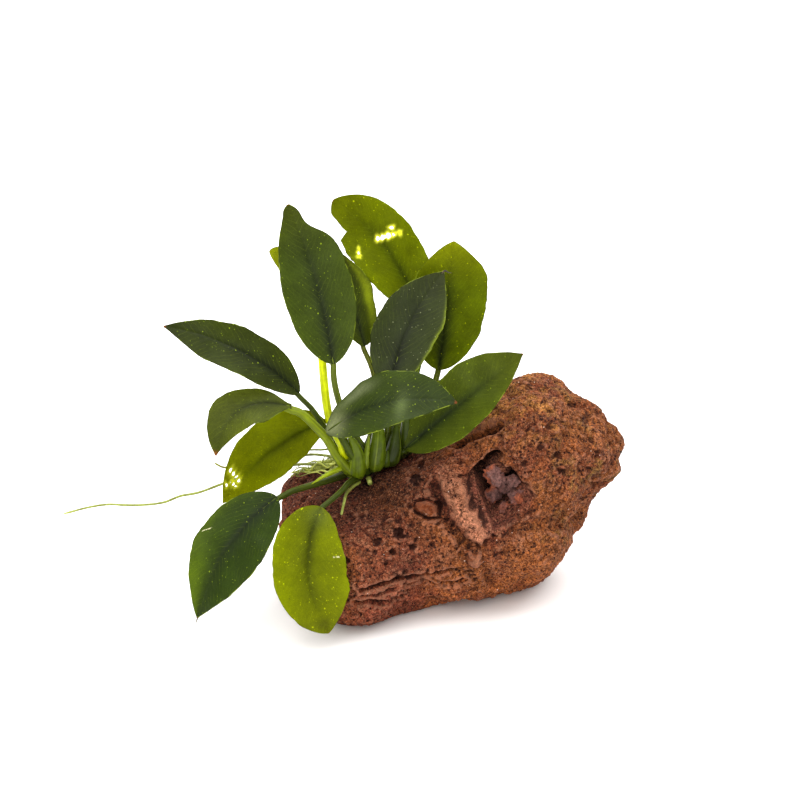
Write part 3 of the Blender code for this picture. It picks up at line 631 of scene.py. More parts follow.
def cut_holes(leaf, place, across, number):
    """Moves grid points to the rims of the holes.

    Returns the points, which of them were inside, and how far each is from the nearest rim.
    """
    inside = np.zeros(place.shape, bool)
    length = np.linalg.norm(np.subtract(leaf.tip, leaf.base))
    rim = np.full(place.shape, 99.0)
    for i, (hole_place, hole_across, half_length, half_wide) in list(enumerate(leaf.holes)) * 2:
        side = np.where(hole_across > 0, 1, -1)
        width = float(half_width(leaf, np.array(side), np.array(hole_place)))
        along = (place - hole_place) * length / half_length
        over = (across - hole_across) * width / half_wide
        edge = hole_radius(np.arctan2(over, along), number * 7 + i * 3)
        rho = np.hypot(along, over) / edge
        held = rho < 0.999
        inside |= held
        push = np.where(held, 1 / np.maximum(rho, 0.05), 1)
        place = np.where(held, hole_place + (place - hole_place) * push, place)
        across = np.where(held, hole_across + (across - hole_across) * push, across)
        rim = np.minimum(rim, np.abs(np.maximum(rho, 1) - 1) * min(half_length, half_wide))
    return place, across, inside, rim


def paint_blade(leaf, place, across, rim):
    """Broad colour of the blade: painted shade along the midrib and in its groove, its own tip, brown
    point and patches, some of them painted sheen.
    """
    colour = np.broadcast_to(linear(leaf.body), (*place.shape, 3))

    def layer(share, tone):
        return colour + (linear(tone) - colour) * share[..., None]

    # painted shade along the midrib, which passes less light than the blade
    rib = np.exp(-(np.abs(across) / (0.16 + 0.1 * (1 - place))) ** 2)
    colour = layer(rib * (1 - np.clip(place / 0.92, 0, 1) ** 2), leaf.rib)
    margin = 0.3 * np.clip(np.abs(across), 0, 1) ** 3 * smooth_share(place / 0.2)
    colour = colour * (1 + margin[..., None] * np.array((1.0, 1.0, -0.6)))
    # a thin dark line in the midrib's groove: painted shade
    sideways = across + 0.02 * np.sin(21 * place) + 0.012 * np.sin(50 * place)
    groove = 0.32 * np.exp(-(sideways / 0.055) ** 2) * (1 - np.clip(place / 0.85, 0, 1) ** 2)
    colour = colour * (1 - groove[..., None])
    colour = layer(np.clip((place - 0.62) / 0.38, 0, 1) ** 1.5, leaf.end)
    for at, over, reach, wide, tone, strength in leaf.patches:
        share = strength * np.exp(-((place - at) / reach) ** 2 - ((across - over) / wide) ** 2)
        colour = layer(share, tone)
    colour = layer(np.exp(-(rim / 0.55) ** 2) * leaf.hole_glow, (236, 236, 70))
    from_tip = (1 - place) * np.linalg.norm(np.subtract(leaf.tip, leaf.base))
    return layer(np.clip(1.3 - from_tip / max(leaf.brown, 0.01), 0, 1), (120, 62, 24))


def smooth_noise(points, size, shift):
    """A smooth random value from -1 to 1 for each point, with features of about that size."""
    flat = np.asarray(points, float).reshape(-1, 3)
    values = [noise.noise(Vector(p) / size + Vector(shift)) for p in flat]
    return np.array(values).reshape(np.shape(points)[:-1])


def wander(along, across, number):
    """A smooth random value for each side of the blade, from -1 to 1."""
    side = np.where(across > 0, 3.3, -3.3) + number * 7.7
    return smooth_noise(np.stack((along, side, np.full_like(along, 0.5)), -1), 1.0, (0, 0, 0))


def blade_faces(grid, gone):
    """Faces of the top, the underside (its points follow the top's) and the margins between."""
    quads = np.stack((grid[:-1, :-1], grid[:-1, 1:], grid[1:, 1:], grid[1:, :-1]), -1)
    kept = quads[~(gone[:-1, :-1] & gone[:-1, 1:] & gone[1:, 1:] & gone[1:, :-1])].tolist()
    faces = kept + [[grid.size + v for v in reversed(q)] for q in kept]
    edges = dict.fromkeys((q[k - 1], q[k]) for q in kept for k in range(4))
    return faces + [[b, a, grid.size + a, grid.size + b] for a, b in edges if (b, a) not in edges]


def make_blade(number, leaf):
    t = np.linspace(0, 1, BLADE_ROWS + 1)
    t = 0.75 * t + 0.25 * (1 - np.cos(np.pi * t)) / 2
    place, across = np.meshgrid(t, np.linspace(-1, 1, BLADE_COLUMNS + 1), indexing="ij")
    place, across, gone, rim = cut_holes(leaf, place, across, number)
    wobble = 0.05 * wander(place * 8, across, number) + 0.022 * wander(place * 27, across, number)
    points, up, width, length = blade_surface(leaf, place, across * (1 + wobble))
    over = across * width
    vein = place * length - VEIN_SLANT * np.abs(over) - VEIN_CURVE * over ** 2

    lift = 0.45 * smooth_noise(points, 9.0, (number * 5.1, 0, 0))
    lift += 0.09 * smooth_noise(points, 3.1, (0, number * 3.7, 0))
    quilt = 0.02 * np.cos(2 * np.pi * vein / QUILT) * (1 - np.abs(across) ** 4)
    lift += quilt * np.minimum(np.abs(over) / 2, 1)
    half = THICKNESS / 2 * (1 - 0.5 * np.abs(across) ** 3)
    groove = GROOVE_DEPTH * np.exp(-(over / GROOVE_HALF) ** 2) * (1 - 0.75 * place)
    ridge = RIDGE_DEPTH * np.exp(-(over / RIDGE_HALF) ** 2) * (1 - 0.7 * place)
    top = points + up * (lift + half - groove)[..., None]
    bottom = points + up * (lift - half - ridge)[..., None]

    faces = blade_faces(np.arange(place.size).reshape(place.shape), gone)
    used = sorted({v for f in faces for v in f})
    index = {v: i for i, v in enumerate(used)}

    def both(upper, lower):
        return np.vstack((upper.reshape(-1, 3), lower.reshape(-1, 3)))[used]

    colour = paint_blade(leaf, place, across, rim)
    spot = np.stack((across, place, width * (1 - np.abs(across))), -1)
    veins = [np.stack((over, vein, np.full_like(over, side)), -1) for side in (1, 0)]
    obj = mesh_object(f"blade_{number:02d}", both(top, bottom), [[index[v] for v in f] for f in faces],
                      {"leaf": both(spot, spot), "vein": both(*veins), "paint": both(colour, colour)})
    place_piece(obj, leaf_material(number, leaf), "leaf_green", f"leaf_blade_{number:02d}")


def leaf_material(number, leaf):
    n = Nodes(f"leaf_{number:02d}")
    paint = n.attribute("paint")
    across, along, edge = n.split(n.attribute("leaf"))
    _, vein, top = n.split(n.attribute("vein"))

    vein = vein + n.noise(7.0, 2.0).span(0.3, 0.7, -0.6, 0.6)
    broad = (vein * (2 * math.pi / BROAD_VEINS)).math("COSINE").span(0.9, 1.0)
    broad = broad * n.noise(5.0, 2.0).span(0.36, 0.62)
    fine = (vein * (2 * math.pi / FINE_VEINS)).math("COSINE").span(0.2, 1.0)
    veins = broad * 0.7 + fine * 0.3

    cloud = n.noise(9.0, 2.0, 0.5).span(0.3, 0.7, 0.86, 1.14)
    mottle = n.noise(1.6, 3.0, 0.65).span(0.32, 0.68, 0.94, 1.06)
    grain = n.noise(0.42, 2.0, 0.6).span(0.34, 0.66, 0.88, 1.12)
    n.colour = n.scaled(paint, cloud * mottle * grain * (veins * 0.16 + 0.96))
    n.tint(broad * (0.03 + 0.18 * leaf.glow), (150, 168, 40))
    n.tint(n.dots(1.3, 1 - leaf.specks, 0.26) * 0.8, leaf.speck_colour)
    n.tint(n.dots(1.05, 0.45, 0.24) * 0.42, leaf.speck_colour)
    if leaf.scratch:
        place, over, reach, slant, thick = leaf.scratch
        aside = across - over
        line = (along - (aside * slant + place)).math("ABSOLUTE").span(thick, thick * 0.5)
        line = line * aside.math("ABSOLUTE").span(reach, reach * 0.7)
        line = line * n.noise(0.9, 2.0).span(0.44, 0.52, 0.15, 1.0)
        n.tint(line * 0.85, (226, 222, 176))
    if leaf.dots:
        n.tint(n.dots(1.7, 0.8 - 0.3 * leaf.dots, 0.16) * 0.8, (56, 52, 6))
    light_rim = n.noise(5.0, 2.0).span(0.46, 0.6)
    dark_rim = light_rim * -1.0 + 1.0
    n.tint(edge.span(0.1, 0.34, 0.6, 0.0) * light_rim, (140, 156, 40))
    n.colour = n.mix(edge.span(0.05, 0.3, 0.6, 0.0) * dark_rim, n.colour, n.scaled(paint, 0.45))
    underside = n.mix(0.3, n.scaled(n.colour, 1.1), rgb(110, 126, 60))
    n.colour = n.mix(top, underside, n.colour)

    normal = n.bump(veins * -0.35 + n.noise(0.8, 3.0), 0.05, 0.5)
    roughness = n.noise(3.0, 3.0).span(0.3, 0.7, 0.36, 0.5)
    return n.finish(roughness, normal, leaf.sheen, through=leaf.glow, lighter=1.7)


# ---- Stalks ----
def rhizome_place(share):
    route = smooth_route(RHIZOME_ROUTE, 41)
    index = min(int(share * 40), 39)
    here = route[index] + (route[index + 1] - route[index]) * (share * 40 - index)
    return here, unit(route[index + 1] - route[index])


def stalk_route(leaf, count):
    """From inside the rhizome to the blade's base."""
    middle, axis = rhizome_place(leaf.root)
    leaving = unit(leaf.leaving)
    base = np.array(leaf.base, float)
    bend = np.array(leaf.bend, float)
    reach = np.linalg.norm(base - middle)
    start_pull = leaving * reach * 0.22 + bend
    if leaf.root > 0:
        square = unit(leaving - axis * leaving.dot(axis))
        tilt = abs(unit(start_pull).dot(axis))
        start = middle + square * (RHIZOME_RADIUS * 1.09 + GAP + tilt * leaf.stalk * (1 + leaf.swell))
    else:
        start = middle + leaving * 2 * GAP
    straight = unit(base - start)
    ahead, _, _, _ = blade_surface(leaf, np.array([0.05]), np.array([0.0]))
    arrival = unit(unit(ahead[0] - base) + straight * 0.8)
    end = base - arrival * STALK_END_GAP
    pulls = start + start_pull, end - arrival * reach * 0.35 + bend
    t = np.linspace(0, 1, count)[:, None]
    s = 1 - t
    route = s ** 3 * start + 3 * s * s * t * pulls[0] + 3 * s * t * t * pulls[1] + t ** 3 * end
    inner = start - unit(start_pull) * 2.2
    return np.vstack((inner, route))


def make_stalk(number, leaf):
    """The stalk, from its swollen foot to the midrib that it becomes below the blade."""
    route = smooth_route(leaf.stem, STALK_ROWS) if leaf.stem else stalk_route(leaf, STALK_ROWS)
    places = np.linspace(0.0, RIB_REACH, 26)[1:]
    under, up, _, _ = blade_surface(leaf, places, np.zeros_like(places))
    thin = 0.72 * leaf.shaft * (1 - places / 0.62) ** 0.8 + 0.16
    rib = under - up * (thin + RIB_DEPTH)[:, None]
    length, rib_length = (np.linalg.norm(np.diff(r, axis=0), axis=1).sum() for r in (route, rib))
    joint = length / (length + rib_length)
    last = smooth_share((np.linspace(0, 1, len(route)) - 0.8) / 0.2)
    route = route - up[0] * (0.85 * leaf.shaft + RIB_DEPTH) * last[:, None]

    def radius(place, angle):
        if place > joint:
            share = (place - joint) / (1 - joint)
            start = 0.72 + 0.13 * max(0.0, 1 - share / 0.06)
            return leaf.shaft * start * (1 - share) ** 0.8 + 0.14
        t = place / joint
        swollen = (leaf.foot - leaf.shaft) * math.exp(-(t / leaf.foot_reach) ** 2)
        size = (leaf.shaft * (1.08 - 0.23 * t) + swollen) * min(1.0, 0.55 + t / 0.08)
        flat = 1 + 0.2 * math.exp(-(t / 0.3) ** 2) * math.cos(2 * angle)
        channel = 1 - 0.14 * math.exp(-((angle - math.pi / 2) / 0.4) ** 2)
        return size * flat * channel * (1 + 0.03 * math.sin(9 * t + 3 * angle))

    obj = tube(f"stalk_{number:02d}", np.vstack((route, rib)), radius, 20)
    place_piece(obj, stalk_material(number, leaf), "stalk_green", f"leaf_stalk_{number:02d}")


def stalk_material(number, leaf):
    n = Nodes(f"stalk_{number:02d}")
    angle, along, place = n.split(n.attribute("along"))
    # darker towards the foot: painted shade among the crowded stalks
    n.ground(place.span(0.03, 0.3), leaf.foot_shade_colour, leaf.stalk_colour)
    streak = n.streaks(angle * 0.0016, along * 0.00005, 0.6, 1.4)
    n.shade(streak * n.noise(5.0, 3.0).span(0.3, 0.7, 0.85, 1.15))
    n.tint(n.dots(1.3, 0.6, 0.18) * 0.3, (170, 184, 80))
    # a pale stripe on the upper flank, strongest near the foot: painted highlight
    highlight_stripe = (angle - 0.9).math("COSINE").span(0.9, 1.0)
    n.tint(highlight_stripe * place.span(0.25, 0.5, 0.5, 0.1), (150, 164, 50))
    normal = n.bump(streak + n.noise(0.6, 2.0), 0.08, 0.5)
    return n.finish(n.noise(2.0, 2.0).span(0.3, 0.7, 0.34, 0.5), normal, 0.2, through=0.25, lighter=1.4)


# ---- Rhizome and roots ----
def rhizome_material():
    n = Nodes("rhizome")
    _, along, _ = n.split(n.attribute("along"))
    blotch = n.noise(2.6, 4.0, 0.65)
    n.ground(blotch.span(0.38, 0.62), (28, 34, 8), (52, 58, 16))
    band = ((along + n.noise(4.0)) * 2.6).math("SINE")
    n.tint(band.span(0.6, 1.0, 0.0, 0.6), (40, 30, 12))
    n.tint(n.noise(0.7, 3.0).span(0.55, 0.7, 0.0, 0.4), (92, 92, 44))
    return n.finish(blotch.span(0.3, 0.7, 0.5, 0.7), n.bump(n.noise(0.9, 4.0, 0.6), 0.25))


def make_rhizome():
    rings = np.sort(np.random.default_rng(SEED).uniform(0.03, 0.97, RHIZOME_RINGS))

    def radius(place, angle):
        end = min(place, 1 - place)
        size = RHIZOME_RADIUS * min(1.0, (end / 0.06 + 0.02) ** 0.5)
        scar = sum(math.exp(-((place - ring + 0.006 * math.sin(angle + 9 * ring)) / 0.009) ** 2)
                   for ring in rings)
        bumps = noise.noise(Vector((math.cos(angle) * 1.3, math.sin(angle) * 1.3, place * 12)))
        return size * (0.98 + 0.09 * scar + 0.12 * bumps)

    obj = tube("rhizome_skin", smooth_route(RHIZOME_ROUTE, 120), radius, 28)
    place_piece(obj, rhizome_material(), "rhizome_green", "rhizome")


def root_material():
    n = Nodes("roots")
    _, _, place = n.split(n.attribute("along"))
    blotch = n.noise(3.2, 4.0, 0.65)
    n.ground(blotch.span(0.36, 0.64), (104, 110, 22), (140, 150, 62))
    n.tint(n.noise(9.0, 2.0).span(0.55, 0.68, 0.0, 0.4), (120, 100, 40))
    n.tint(place.span(0.93, 1.0, 0.0, 0.2), (170, 170, 90))
    return n.finish(blotch.span(0.3, 0.7, 0.5, 0.7), n.bump(n.noise(0.5, 3.0), 0.06))


def tangle_material():
    n = Nodes("fine_roots")
    n.ground(n.noise(4.0, 3.0).span(0.38, 0.62), (134, 144, 26), (188, 194, 84))
    n.tint(n.noise(9.0, 2.0).span(0.5, 0.64, 0.0, 0.6), (104, 108, 36))
    return n.finish(n.noise(2.0).span(0.3, 0.7, 0.5, 0.7), n.bump(n.noise(0.5, 3.0), 0.06))


def make_roots():
    material = root_material()
    for number, (name, (start, end, places)) in enumerate(ROOTS.items()):
        def radius(place, angle):
            bumps = noise.noise(Vector((place * 30, angle * 0.4, number * 7)))
            tip = min(1.0, ((1 - place) / 0.02 + 0.1) ** 0.5)
            return (start + (end - start) * place) * (1 + 0.16 * bumps) * tip

        obj = tube(f"{name}_skin", smooth_route(places, 24 * len(places)), radius, 10)
        place_piece(obj, material, "root_green", name)


def ground_below(tree, x, y):
    """The stone's point straight below x and y, in metres, and its normal, or None twice."""
    return tree.ray_cast(Vector((x, y, ABOVE_STONE)) * MM, Vector((0, 0, -1)))[:2]


def creeping_route(rng, tree):
    """From the rhizome back and to the left, a little above the stone, as far as the shoulder."""
    start = np.array((-31.0, -1.0, 55.0)) + rng.normal(0, (2.5, 3.0, 1.0))
    end = np.array((rng.uniform(-58, -42), rng.uniform(13, 30), 0.0))
    bend = rng.uniform(-7, 7)
    route = []
    for t in np.linspace(0, 1, 8):
        here = start + (end - start) * t
        here[1] += bend * math.sin(math.pi * t) + rng.normal(0, 0.8)
        ground, _ = ground_below(tree, here[0], here[1])
        if t > 0.3 and (ground is None or ground.z / MM < SHOULDER - 2):
            break
        loose = abs(rng.normal(0, 2.6)) * math.sin(math.pi * t)
        level = max(ground.z / MM if ground else SHOULDER, SHOULDER) + 0.4 + loose
        here[2] = start[2] + (level - start[2]) * min(1.0, t * 3)
        route.append(here)
    return smooth_route(route, 40)


def make_tangle(rng, tree):
    """Fine roots that creep over the stone's left shoulder."""
    strands = [(creeping_route(rng, tree), rng.uniform(0.22, 0.4)) for _ in range(TANGLE_STRANDS)]
    material = tangle_material()
    for k, (route, size) in enumerate(strands):
        def radius(place, angle):
            return size * (1.1 - 0.6 * place) * (1 + 0.2 * math.sin(19 * place + k))
        place_piece(tube(f"fine_root_{k:02d}", route, radius, 7), material, "root_green")


def make_moss(rng, tree):
    """Tufts of thin three-sided spikes between the fine roots."""
    points, faces = [], []
    for _ in range(MOSS_TUFTS):
        hit, normal = ground_below(tree, rng.uniform(-54, -30), rng.uniform(13, 32))
        if hit is None or hit.z / MM < SHOULDER:
            continue
        root = np.array(hit) / MM
        for _ in range(rng.integers(4, 8)):
            lean = unit(np.array(normal) + rng.normal(0, 0.55, 3))
            tip = root + lean * rng.uniform(1.2, 3.2)
            across = unit(np.cross(lean, rng.normal(0, 1, 3)))
            third = np.cross(lean, across)
            size = rng.uniform(0.10, 0.2)
            a = len(points)
            points += [root - lean * 0.4 + size * corner
                       for corner in (across, third - across / 2, -third - across / 2)] + [tip]
            faces += [(a, a + 1, a + 3), (a + 1, a + 2, a + 3), (a + 2, a, a + 3), (a, a + 2, a + 1)]
    n = Nodes("moss")
    n.ground(n.noise(2.0).span(0.4, 0.6), (92, 102, 18), (168, 176, 58))
    material = n.finish(n.noise(1.0).span(0.3, 0.7, 0.6, 0.8))
    place_piece(mesh_object("moss", points, faces), material, "root_green")


def make_sheaths():
    """Clasping flaps at the feet of the stalks."""
    for k, (colour, route, width, depth) in enumerate(SHEATHS):
        def radius(place, angle):
            taper = min(1.0, (place / 0.2 + 0.02) ** 0.5) * (1 - place ** 1.6) ** 0.7 + 0.02
            return taper * (width * math.cos(angle) ** 2 + depth * math.sin(angle) ** 2)
        obj = tube(f"sheath_{k}", smooth_route(route, 36), radius, 18)
        place_piece(obj, sheath_material(k, colour), "stalk_green")


def sheath_material(number, colour):
    n = Nodes(f"sheath_{number}")
    angle, along, place = n.split(n.attribute("along"))
    streak = n.streaks(angle * 0.002, along * 0.00006, 0.7, 1.3)
    # darker at the foot, lighter towards the tip: painted shade at the crowded base
    n.colour = n.mix(place.span(0.0, 1.0), rgb(*colour), n.scaled(rgb(*colour), 1.5))
    n.shade(streak * n.noise(3.0, 3.0).span(0.3, 0.7, 0.85, 1.15))
    # pale lines down two sides of the flap: painted highlights
    highlight_lines = (angle + number * 0.7).math("SINE").math("ABSOLUTE").span(0.14, 0.0)
    n.tint(highlight_lines * 0.3, (150, 164, 50))
    return n.finish(n.noise(2.0).span(0.3, 0.7, 0.26, 0.4), n.bump(streak, 0.08), 0.16)


def make_threads():
    """The dried threads at two of the leaf tips."""
    for k, (route, size) in enumerate(THREADS):
        def radius(place, angle):
            return size * (1.1 - 0.8 * place)
        n = Nodes(f"tip_thread_{k}")
        n.ground(n.noise(0.8).span(0.4, 0.6), (30, 26, 12), (66, 52, 22))
        material = n.finish(n.noise(0.5).span(0.3, 0.7, 0.6, 0.8))
        place_piece(tube(f"tip_thread_{k}", smooth_route(route, 14), radius, 8), material, "leaf_green")


# ---- Stone ----
def remeshed(source, voxel):
    work = linked("stone_work", source.data.copy())
    modifier = work.modifiers.new("even", "REMESH")
    modifier.mode = "VOXEL"
    modifier.voxel_size = voxel * MM
    bpy.context.view_layer.update()
    graph = bpy.context.evaluated_depsgraph_get()
    mesh = bpy.data.meshes.new_from_object(work.evaluated_get(graph))
    bpy.data.objects.remove(work)
    return mesh


def vertex_values(mesh, key):
    values = np.empty(len(mesh.vertices) * 3)
    mesh.vertices.foreach_get(key, values)
    return values.reshape(-1, 3)


def refined_front(mesh):
    """Splits the faces that look to the front, so that fine relief fits there."""
    work = bmesh.new()
    work.from_mesh(mesh)
    front = Vector(FRONT)
    chosen = {v for v in work.verts if v.normal.dot(front) > 0.05}
    edges = [e for e in work.edges if e.verts[0] in chosen and e.verts[1] in chosen]
    bmesh.ops.subdivide_edges(work, edges=edges, cuts=1, use_grid_fill=True)
    work.to_mesh(mesh)
    work.free()


def blurred(values, pairs, passes):
    """values (one row a point) averaged with their neighbours, over and over."""
    count = np.bincount(pairs.ravel(), minlength=len(values))[:, None]
    for _ in range(passes):
        total = np.zeros_like(values)
        for k in range(values.shape[1]):
            total[:, k] = (np.bincount(pairs[:, 0], values[pairs[:, 1], k], len(values))
                           + np.bincount(pairs[:, 1], values[pairs[:, 0], k], len(values)))
        values = 0.5 * values + 0.5 * total / np.maximum(count, 1)
    return values


def distance_to_route(points, route):
    nearest = np.full(len(points), 1e9)
    for a, b in zip(np.asarray(route[:-1], float), np.asarray(route[1:], float)):
        span = b - a
        share = np.clip((points - a) @ span / max(span @ span, 1e-9), 0, 1)
        nearest = np.minimum(nearest, np.linalg.norm(points - a - share[:, None] * span, axis=1))
    return nearest


def inside_outline(x, z, outline):
    """How far inside a convex outline each point lies, in millimetres, below 0 outside."""
    corners = np.asarray(outline, float)
    middle = corners.mean(0)
    depth = np.full(len(x), 1e9)
    for a, b in zip(corners, np.roll(corners, -1, 0)):
        normal = np.array((b[1] - a[1], a[0] - b[0]))
        normal /= np.linalg.norm(normal)
        if (middle - a) @ normal < 0:
            normal = -normal
        depth = np.minimum(depth, (x - a[0]) * normal[0] + (z - a[1]) * normal[1])
    return depth


def fractal(points, size, seed, octaves=3):
    shift = Vector((seed * 3.1, seed * 1.7, seed * 2.3))
    return np.array([noise.fractal(Vector(p) / size + shift, 0.9, 2.0, octaves) for p in points])


def stroke_share(points, stroke, ragged=0.0):
    """1 on the flat top of a stroke, down to 0 at the foot of its slope."""
    route, flat, slope, _ = stroke
    share = smooth_share((flat + slope - distance_to_route(points, route) - ragged) / slope)
    if stroke is PILLAR:
        share = share * smooth_share((PILLAR_TOP - points[:, 2]) / PILLAR_FADE)
    return share


def vesicle_depth(points, broad, ragged):
    """How deep the named vesicles are at each point, seen along FRONT."""
    front = np.asarray(FRONT)
    deepest = np.zeros(len(points))
    for centre, radius, depth in VESICLES:
        away = points - centre
        along = away @ front
        share = np.linalg.norm(away - along[:, None] * front, axis=1) / radius + 0.5 * ragged
        near = (share < 1) & (np.abs(along) < VESICLE_REACH) & (broad @ front > 0)
        bowl = depth * (1 - np.clip(share, 0, 1) ** 3) ** 0.6
        deepest = np.maximum(deepest, np.where(near, bowl, 0))
    return deepest


def bowl_depth(points, ragged, closed):
    """How deep the small random bowls are at each point. There are none where closed is true."""
    rng = np.random.default_rng(SEED)
    tree = KDTree(len(points))
    for i, p in enumerate(points):
        tree.insert(p, i)
    tree.balance()
    deepest = np.zeros(len(points))
    crowd = fractal(points, 20.0, 5, 2)
    for c in rng.choice(len(points), BOWLS):
        if crowd[c] + rng.uniform(-0.6, 0.6) < -0.1 or closed[c]:
            continue
        radius = 0.42 + 1.3 * rng.random() ** 9
        depth = radius * rng.uniform(0.6, 1.1)
        for _, i, distance in tree.find_range(Vector(points[c]), radius * 1.25):
            share = distance / radius + 0.3 * ragged[i]
            if share < 1:
                deepest[i] = max(deepest[i], depth * (1 - max(share, 0) ** 3) ** 0.7)
    return deepest


def make_stone():
    mesh = remeshed(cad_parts["stone"], STONE_VOXEL)
    refined_front(mesh)
    pairs = np.array([e.vertices[:] for e in mesh.edges])
    rest = vertex_values(mesh, "co") / MM
    broad = unit(blurred(vertex_values(mesh, "normal"), pairs, 12))
    points = rest.copy()
    for centre, reach, step in PUSHES:
        share = np.exp(-(np.linalg.norm(rest - centre, axis=1) / reach) ** 2)
        points += share[:, None] * np.asarray(step, float)

    # the edges of every form wander a little
    warp = 0.9 * fractal(rest, 5.0, 11, 2)
    ragged = fractal(rest, 1.6, 13, 2)
    ridged = np.abs(fractal(rest, 7.0, 3, 2))
    move = 1.1 * fractal(rest, 11.0, 1) + 0.5 * fractal(rest, 3.6, 2, 2)
    move -= 0.9 * np.clip(0.2 - ridged, 0, 1) / 0.2
    for stroke in STROKES:
        _, _, slope, height = stroke
        move += height * stroke_share(rest, stroke, warp * min(1.0, slope / 2))

    depth = inside_outline(rest[:, 0], rest[:, 2], POCKET) + 1.8 * warp
    in_pocket = smooth_share(depth / 2.2) * (rest[:, 1] < -8) * (broad[:, 1] < 0.3)
    from_foot = (rest[:, ::2] - POCKET_FOOT) @ POCKET_UP
    points[:, 1] += POCKET_SINK * in_pocket * smooth_share((from_foot + warp) / POCKET_RISE)

    pillar = stroke_share(rest, PILLAR, 0.9 * warp)
    low = smooth_share(rest[:, 2] / 3.0)
    vesicles = vesicle_depth(rest, broad, ragged) * (1 - np.clip(pillar * 1.5 + in_pocket, 0, 1))
    bowls = bowl_depth(rest, ragged, (in_pocket > 0.2) | (pillar > 0.3))
    move = move * (1 - 0.8 * in_pocket) - bowls + 0.3 * fractal(rest, 1.4, 7, 2)
    points += broad * (move * low)[:, None] - np.asarray(FRONT) * (vesicles * low)[:, None]
    points[:, 2] = np.maximum(points[:, 2], 0)

    hollow, wide_hollow = (((blurred(points, pairs, n) - points) * broad).sum(1) for n in (14, 160))
    mesh.vertices.foreach_set("co", (points * MM).ravel())
    mesh.update()
    mesh.shade_smooth()
    # relief holds the pits and hollows that the material darkens as painted shade
    add_vectors(mesh, "relief", np.stack((np.maximum(bowls, vesicles), hollow, wide_hollow), 1))
    add_vectors(mesh, "zone", np.stack((in_pocket, pillar, stroke_share(rest, SHARD)), 1))
    obj = linked("lava_stone", mesh)
    place_piece(obj, stone_material(), "lava_stone", "stone")
    return obj


def lump_material():
    n = Nodes("pocket_lumps")
    n.ground(n.noise(7.0, 3.0).span(0.42, 0.58), (98, 64, 58), (122, 58, 30))
    tone = n.noise(1.4, 5.0, 0.7).span(0.34, 0.66, 0.55, 1.45)
    n.shade(tone * n.noise(0.5, 3.0).span(0.3, 0.7, 0.8, 1.25))
    return n.finish(n.noise(2.0).span(0.3, 0.7, 0.8, 0.95), n.bump(n.noise(0.9, 5.0, 0.7), 0.5))


def make_lumps():
    """The separate lumps that sit in the pocket."""
    work = bmesh.new()
    for number, (centre, radius) in enumerate(LUMPS):
        ball = bmesh.ops.create_icosphere(work, subdivisions=5, radius=1.0)["verts"]
        shift = Vector((number * 4.7, 0, number))
        for v in ball:
            d = v.co.copy()
            lump = 0.55 * noise.fractal(d * 1.1 + shift, 0.9, 2.0, 3)
            lump += 0.16 * noise.fractal(d * 5 + shift, 0.9, 2.0, 2)
            v.co = (Vector(centre) + d * radius * (1 + lump)) * MM
    mesh = bpy.data.meshes.new("pocket_lumps")
    work.to_mesh(mesh)
    work.free()
    mesh.shade_smooth()
    place_piece(linked("pocket_lumps", mesh), lump_material(), "lava_stone")


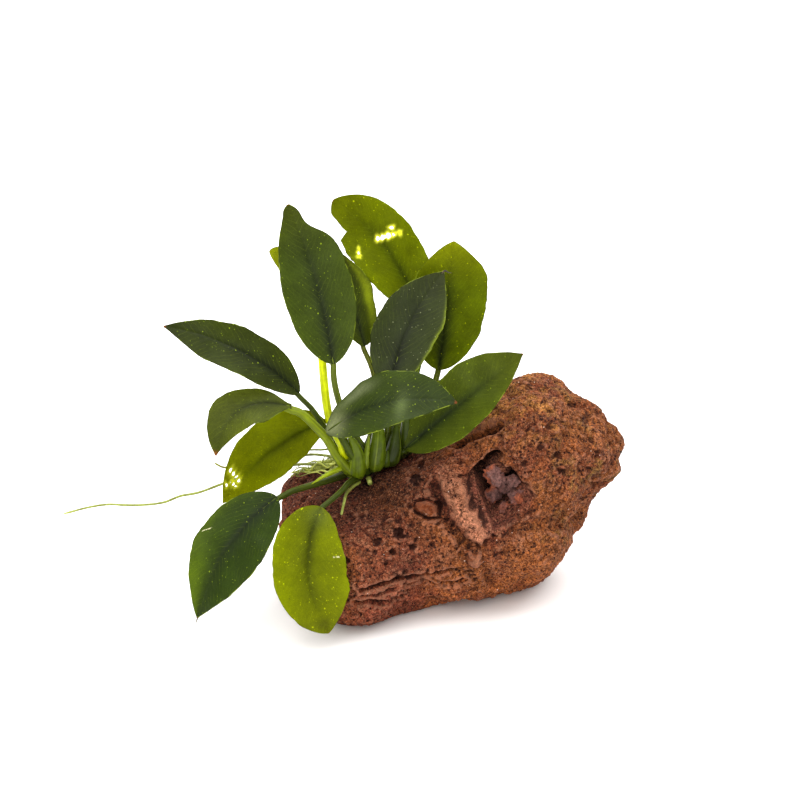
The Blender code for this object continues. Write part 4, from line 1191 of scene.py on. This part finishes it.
def stone_material():
    n = Nodes("lava_stone")
    pit, hollow, wide = n.split(n.attribute("relief"))
    pocket, pillar, shard = n.split(n.attribute("zone"))
    x, y, z = n.split(n.where())

    # broad colours: redder at the left, browner at the right, then patches and the named forms
    side = x * 9.0 - z + n.noise(26.0, 3.0).span(0.3, 0.7, -0.5, 0.5)
    n.ground(side.span(-0.45, 0.6), (110, 54, 36), (132, 74, 36))
    n.tint(n.noise(15.0, 4.0, 0.6).span(0.5, 0.66, 0.0, 0.55), (96, 44, 30))
    n.tint(n.noise(9.0, 5.0, 0.6, distortion=0.6).span(0.56, 0.7, 0.0, 0.5), (158, 104, 74))
    olive = n.noise(8.0, 4.0, 0.65).span(0.52, 0.64) * x.span(0.03, 0.06)
    n.tint(olive * 0.6, (112, 88, 40))
    ochre = n.noise(6.0, 4.0, 0.65).span(0.44, 0.6) * z.span(0.062, 0.078)
    n.tint(ochre * x.span(0.056, 0.044, 0.45, 1.0) * 0.7, (164, 110, 52))
    n.tint(pillar * n.noise(5.0, 3.0).span(0.36, 0.56, 0.32, 0.7), (206, 136, 102))
    n.tint(shard * 0.85, (116, 56, 24))
    n.tint(pocket * 0.8, (104, 58, 46))

    # tone: grain, then painted shadow of the plant on the left shoulder, darker across the middle, and
    # painted shade deep in the pocket
    grain = n.noise(1.3, 6.0, 0.75)
    grit = n.noise(0.6, 4.0, 0.75)
    tone = grain.span(0.38, 0.62, 0.34, 1.75) * grit.span(0.36, 0.64, 0.45, 1.7)
    # painted shadow of the plant over the left shoulder
    tone = tone * (x.span(0.02, -0.02) * z.span(0.034, 0.048) * -0.62 + 1.0)
    tone = tone * z.span(0.01, 0.028, 1.1, 0.72) * z.span(0.066, 0.078, 1.0, 1.04)
    tone = tone * n.noise(11.0, 4.0, 0.6).span(0.36, 0.64, 0.8, 1.18)
    # painted shade deep inside the pocket
    n.shade(tone * (pocket * y.span(-0.021, -0.013) * -0.65 + 1.0))

    # chips; pores, pits and hollows darkened as painted shade; crests lightened as a painted highlight;
    # painted glints
    n.tint(n.noise(0.7, 5.0, 0.8).span(0.55, 0.64) * 0.62, (206, 140, 102))
    # the pores are bumped in and painted dark as the shade inside them
    holes = n.pores(1.5, -0.03, 0.06).math("MAXIMUM", n.pores(0.8, -0.05, 0.1) * 0.8)
    n.tint(holes * 0.92, (34, 14, 10))
    # painted shade in the pits and in small and wide hollows
    deep = pit.span(0.2, 1.5).math("MAXIMUM", hollow.span(0.15, 0.9))
    n.tint(deep.math("MAXIMUM", wide.span(1.0, 5.0) * 0.8) * 0.8, (40, 18, 13))
    # crests lightened: painted highlight
    n.tint(hollow.span(-0.1, -0.7) * 0.35, (190, 128, 98))
    n.tint(shard * 0.55, (112, 52, 22))
    distance, number = n.cells(1.2)
    n.tint((number > 0.9) * (distance < 0.2) * 0.8, (235, 205, 185))
    normal = n.bump(grain + grit * 0.5 - holes * 0.6, 1.1)
    return n.finish(grain.span(0.3, 0.7, 0.85, 0.98), normal, 0.15)


# ---- Stage: floor, lights and camera ----
def soft_sun(name, toward, strength, angle, colour=(1, 1, 1)):
    """Even light over the whole stage, from the direction toward, angle degrees wide."""
    data = bpy.data.lights.new(name, "SUN")
    data.energy = strength
    data.angle = math.radians(angle)
    data.color = colour
    linked(name, data).rotation_euler = Vector(toward).to_track_quat("Z", "Y").to_euler()


def make_stage():
    corners = np.array(((-1, -1, 0), (1, -1, 0), (1, 1, 0), (-1, 1, 0)))
    floor = mesh_object("floor", corners * FLOOR_HALF, ((0, 1, 2, 3),))
    n = Nodes("floor")
    n.colour = (0.95, 0.94, 0.935)
    floor.data.materials.append(n.finish(0.9))

    world = bpy.data.worlds.new("studio")
    world.use_nodes = True
    background = world.node_tree.nodes["Background"]
    background.inputs["Color"].default_value = (1, 1, 1, 1)
    background.inputs["Strength"].default_value = 0.8
    bpy.context.scene.world = world
    soft_sun("overhead", (0.15, 0.35, 1.0), 4.6, 90)
    soft_sun("front", (-0.45, -1.0, 0.9), 2.0, 60, (1.0, 0.95, 0.9))

    tilt = math.radians(CAMERA_TILT)
    data = bpy.data.cameras.new("camera")
    data.lens = 85
    data.sensor_width = 36
    camera = linked("camera", data)
    away = Vector((0, -math.cos(tilt), math.sin(tilt))) * CAMERA_DISTANCE
    camera.location = (Vector(CAMERA_TARGET) + away) * MM
    camera.rotation_euler = (math.pi / 2 - tilt, 0, 0)
    bpy.context.scene.camera = camera
    bpy.context.scene.view_settings.view_transform = "Standard"


make_stage()
stone_surface = BVHTree.FromObject(make_stone(), bpy.context.evaluated_depsgraph_get())
make_lumps()
make_rhizome()
make_roots()
tangle_rng = np.random.default_rng(SEED + 1)
make_tangle(tangle_rng, stone_surface)
make_moss(tangle_rng, stone_surface)
make_sheaths()
make_threads()
for leaf_number, leaf_entry in enumerate(LEAVES, 1):
    make_blade(leaf_number, leaf_entry)
    make_stalk(leaf_number, leaf_entry)
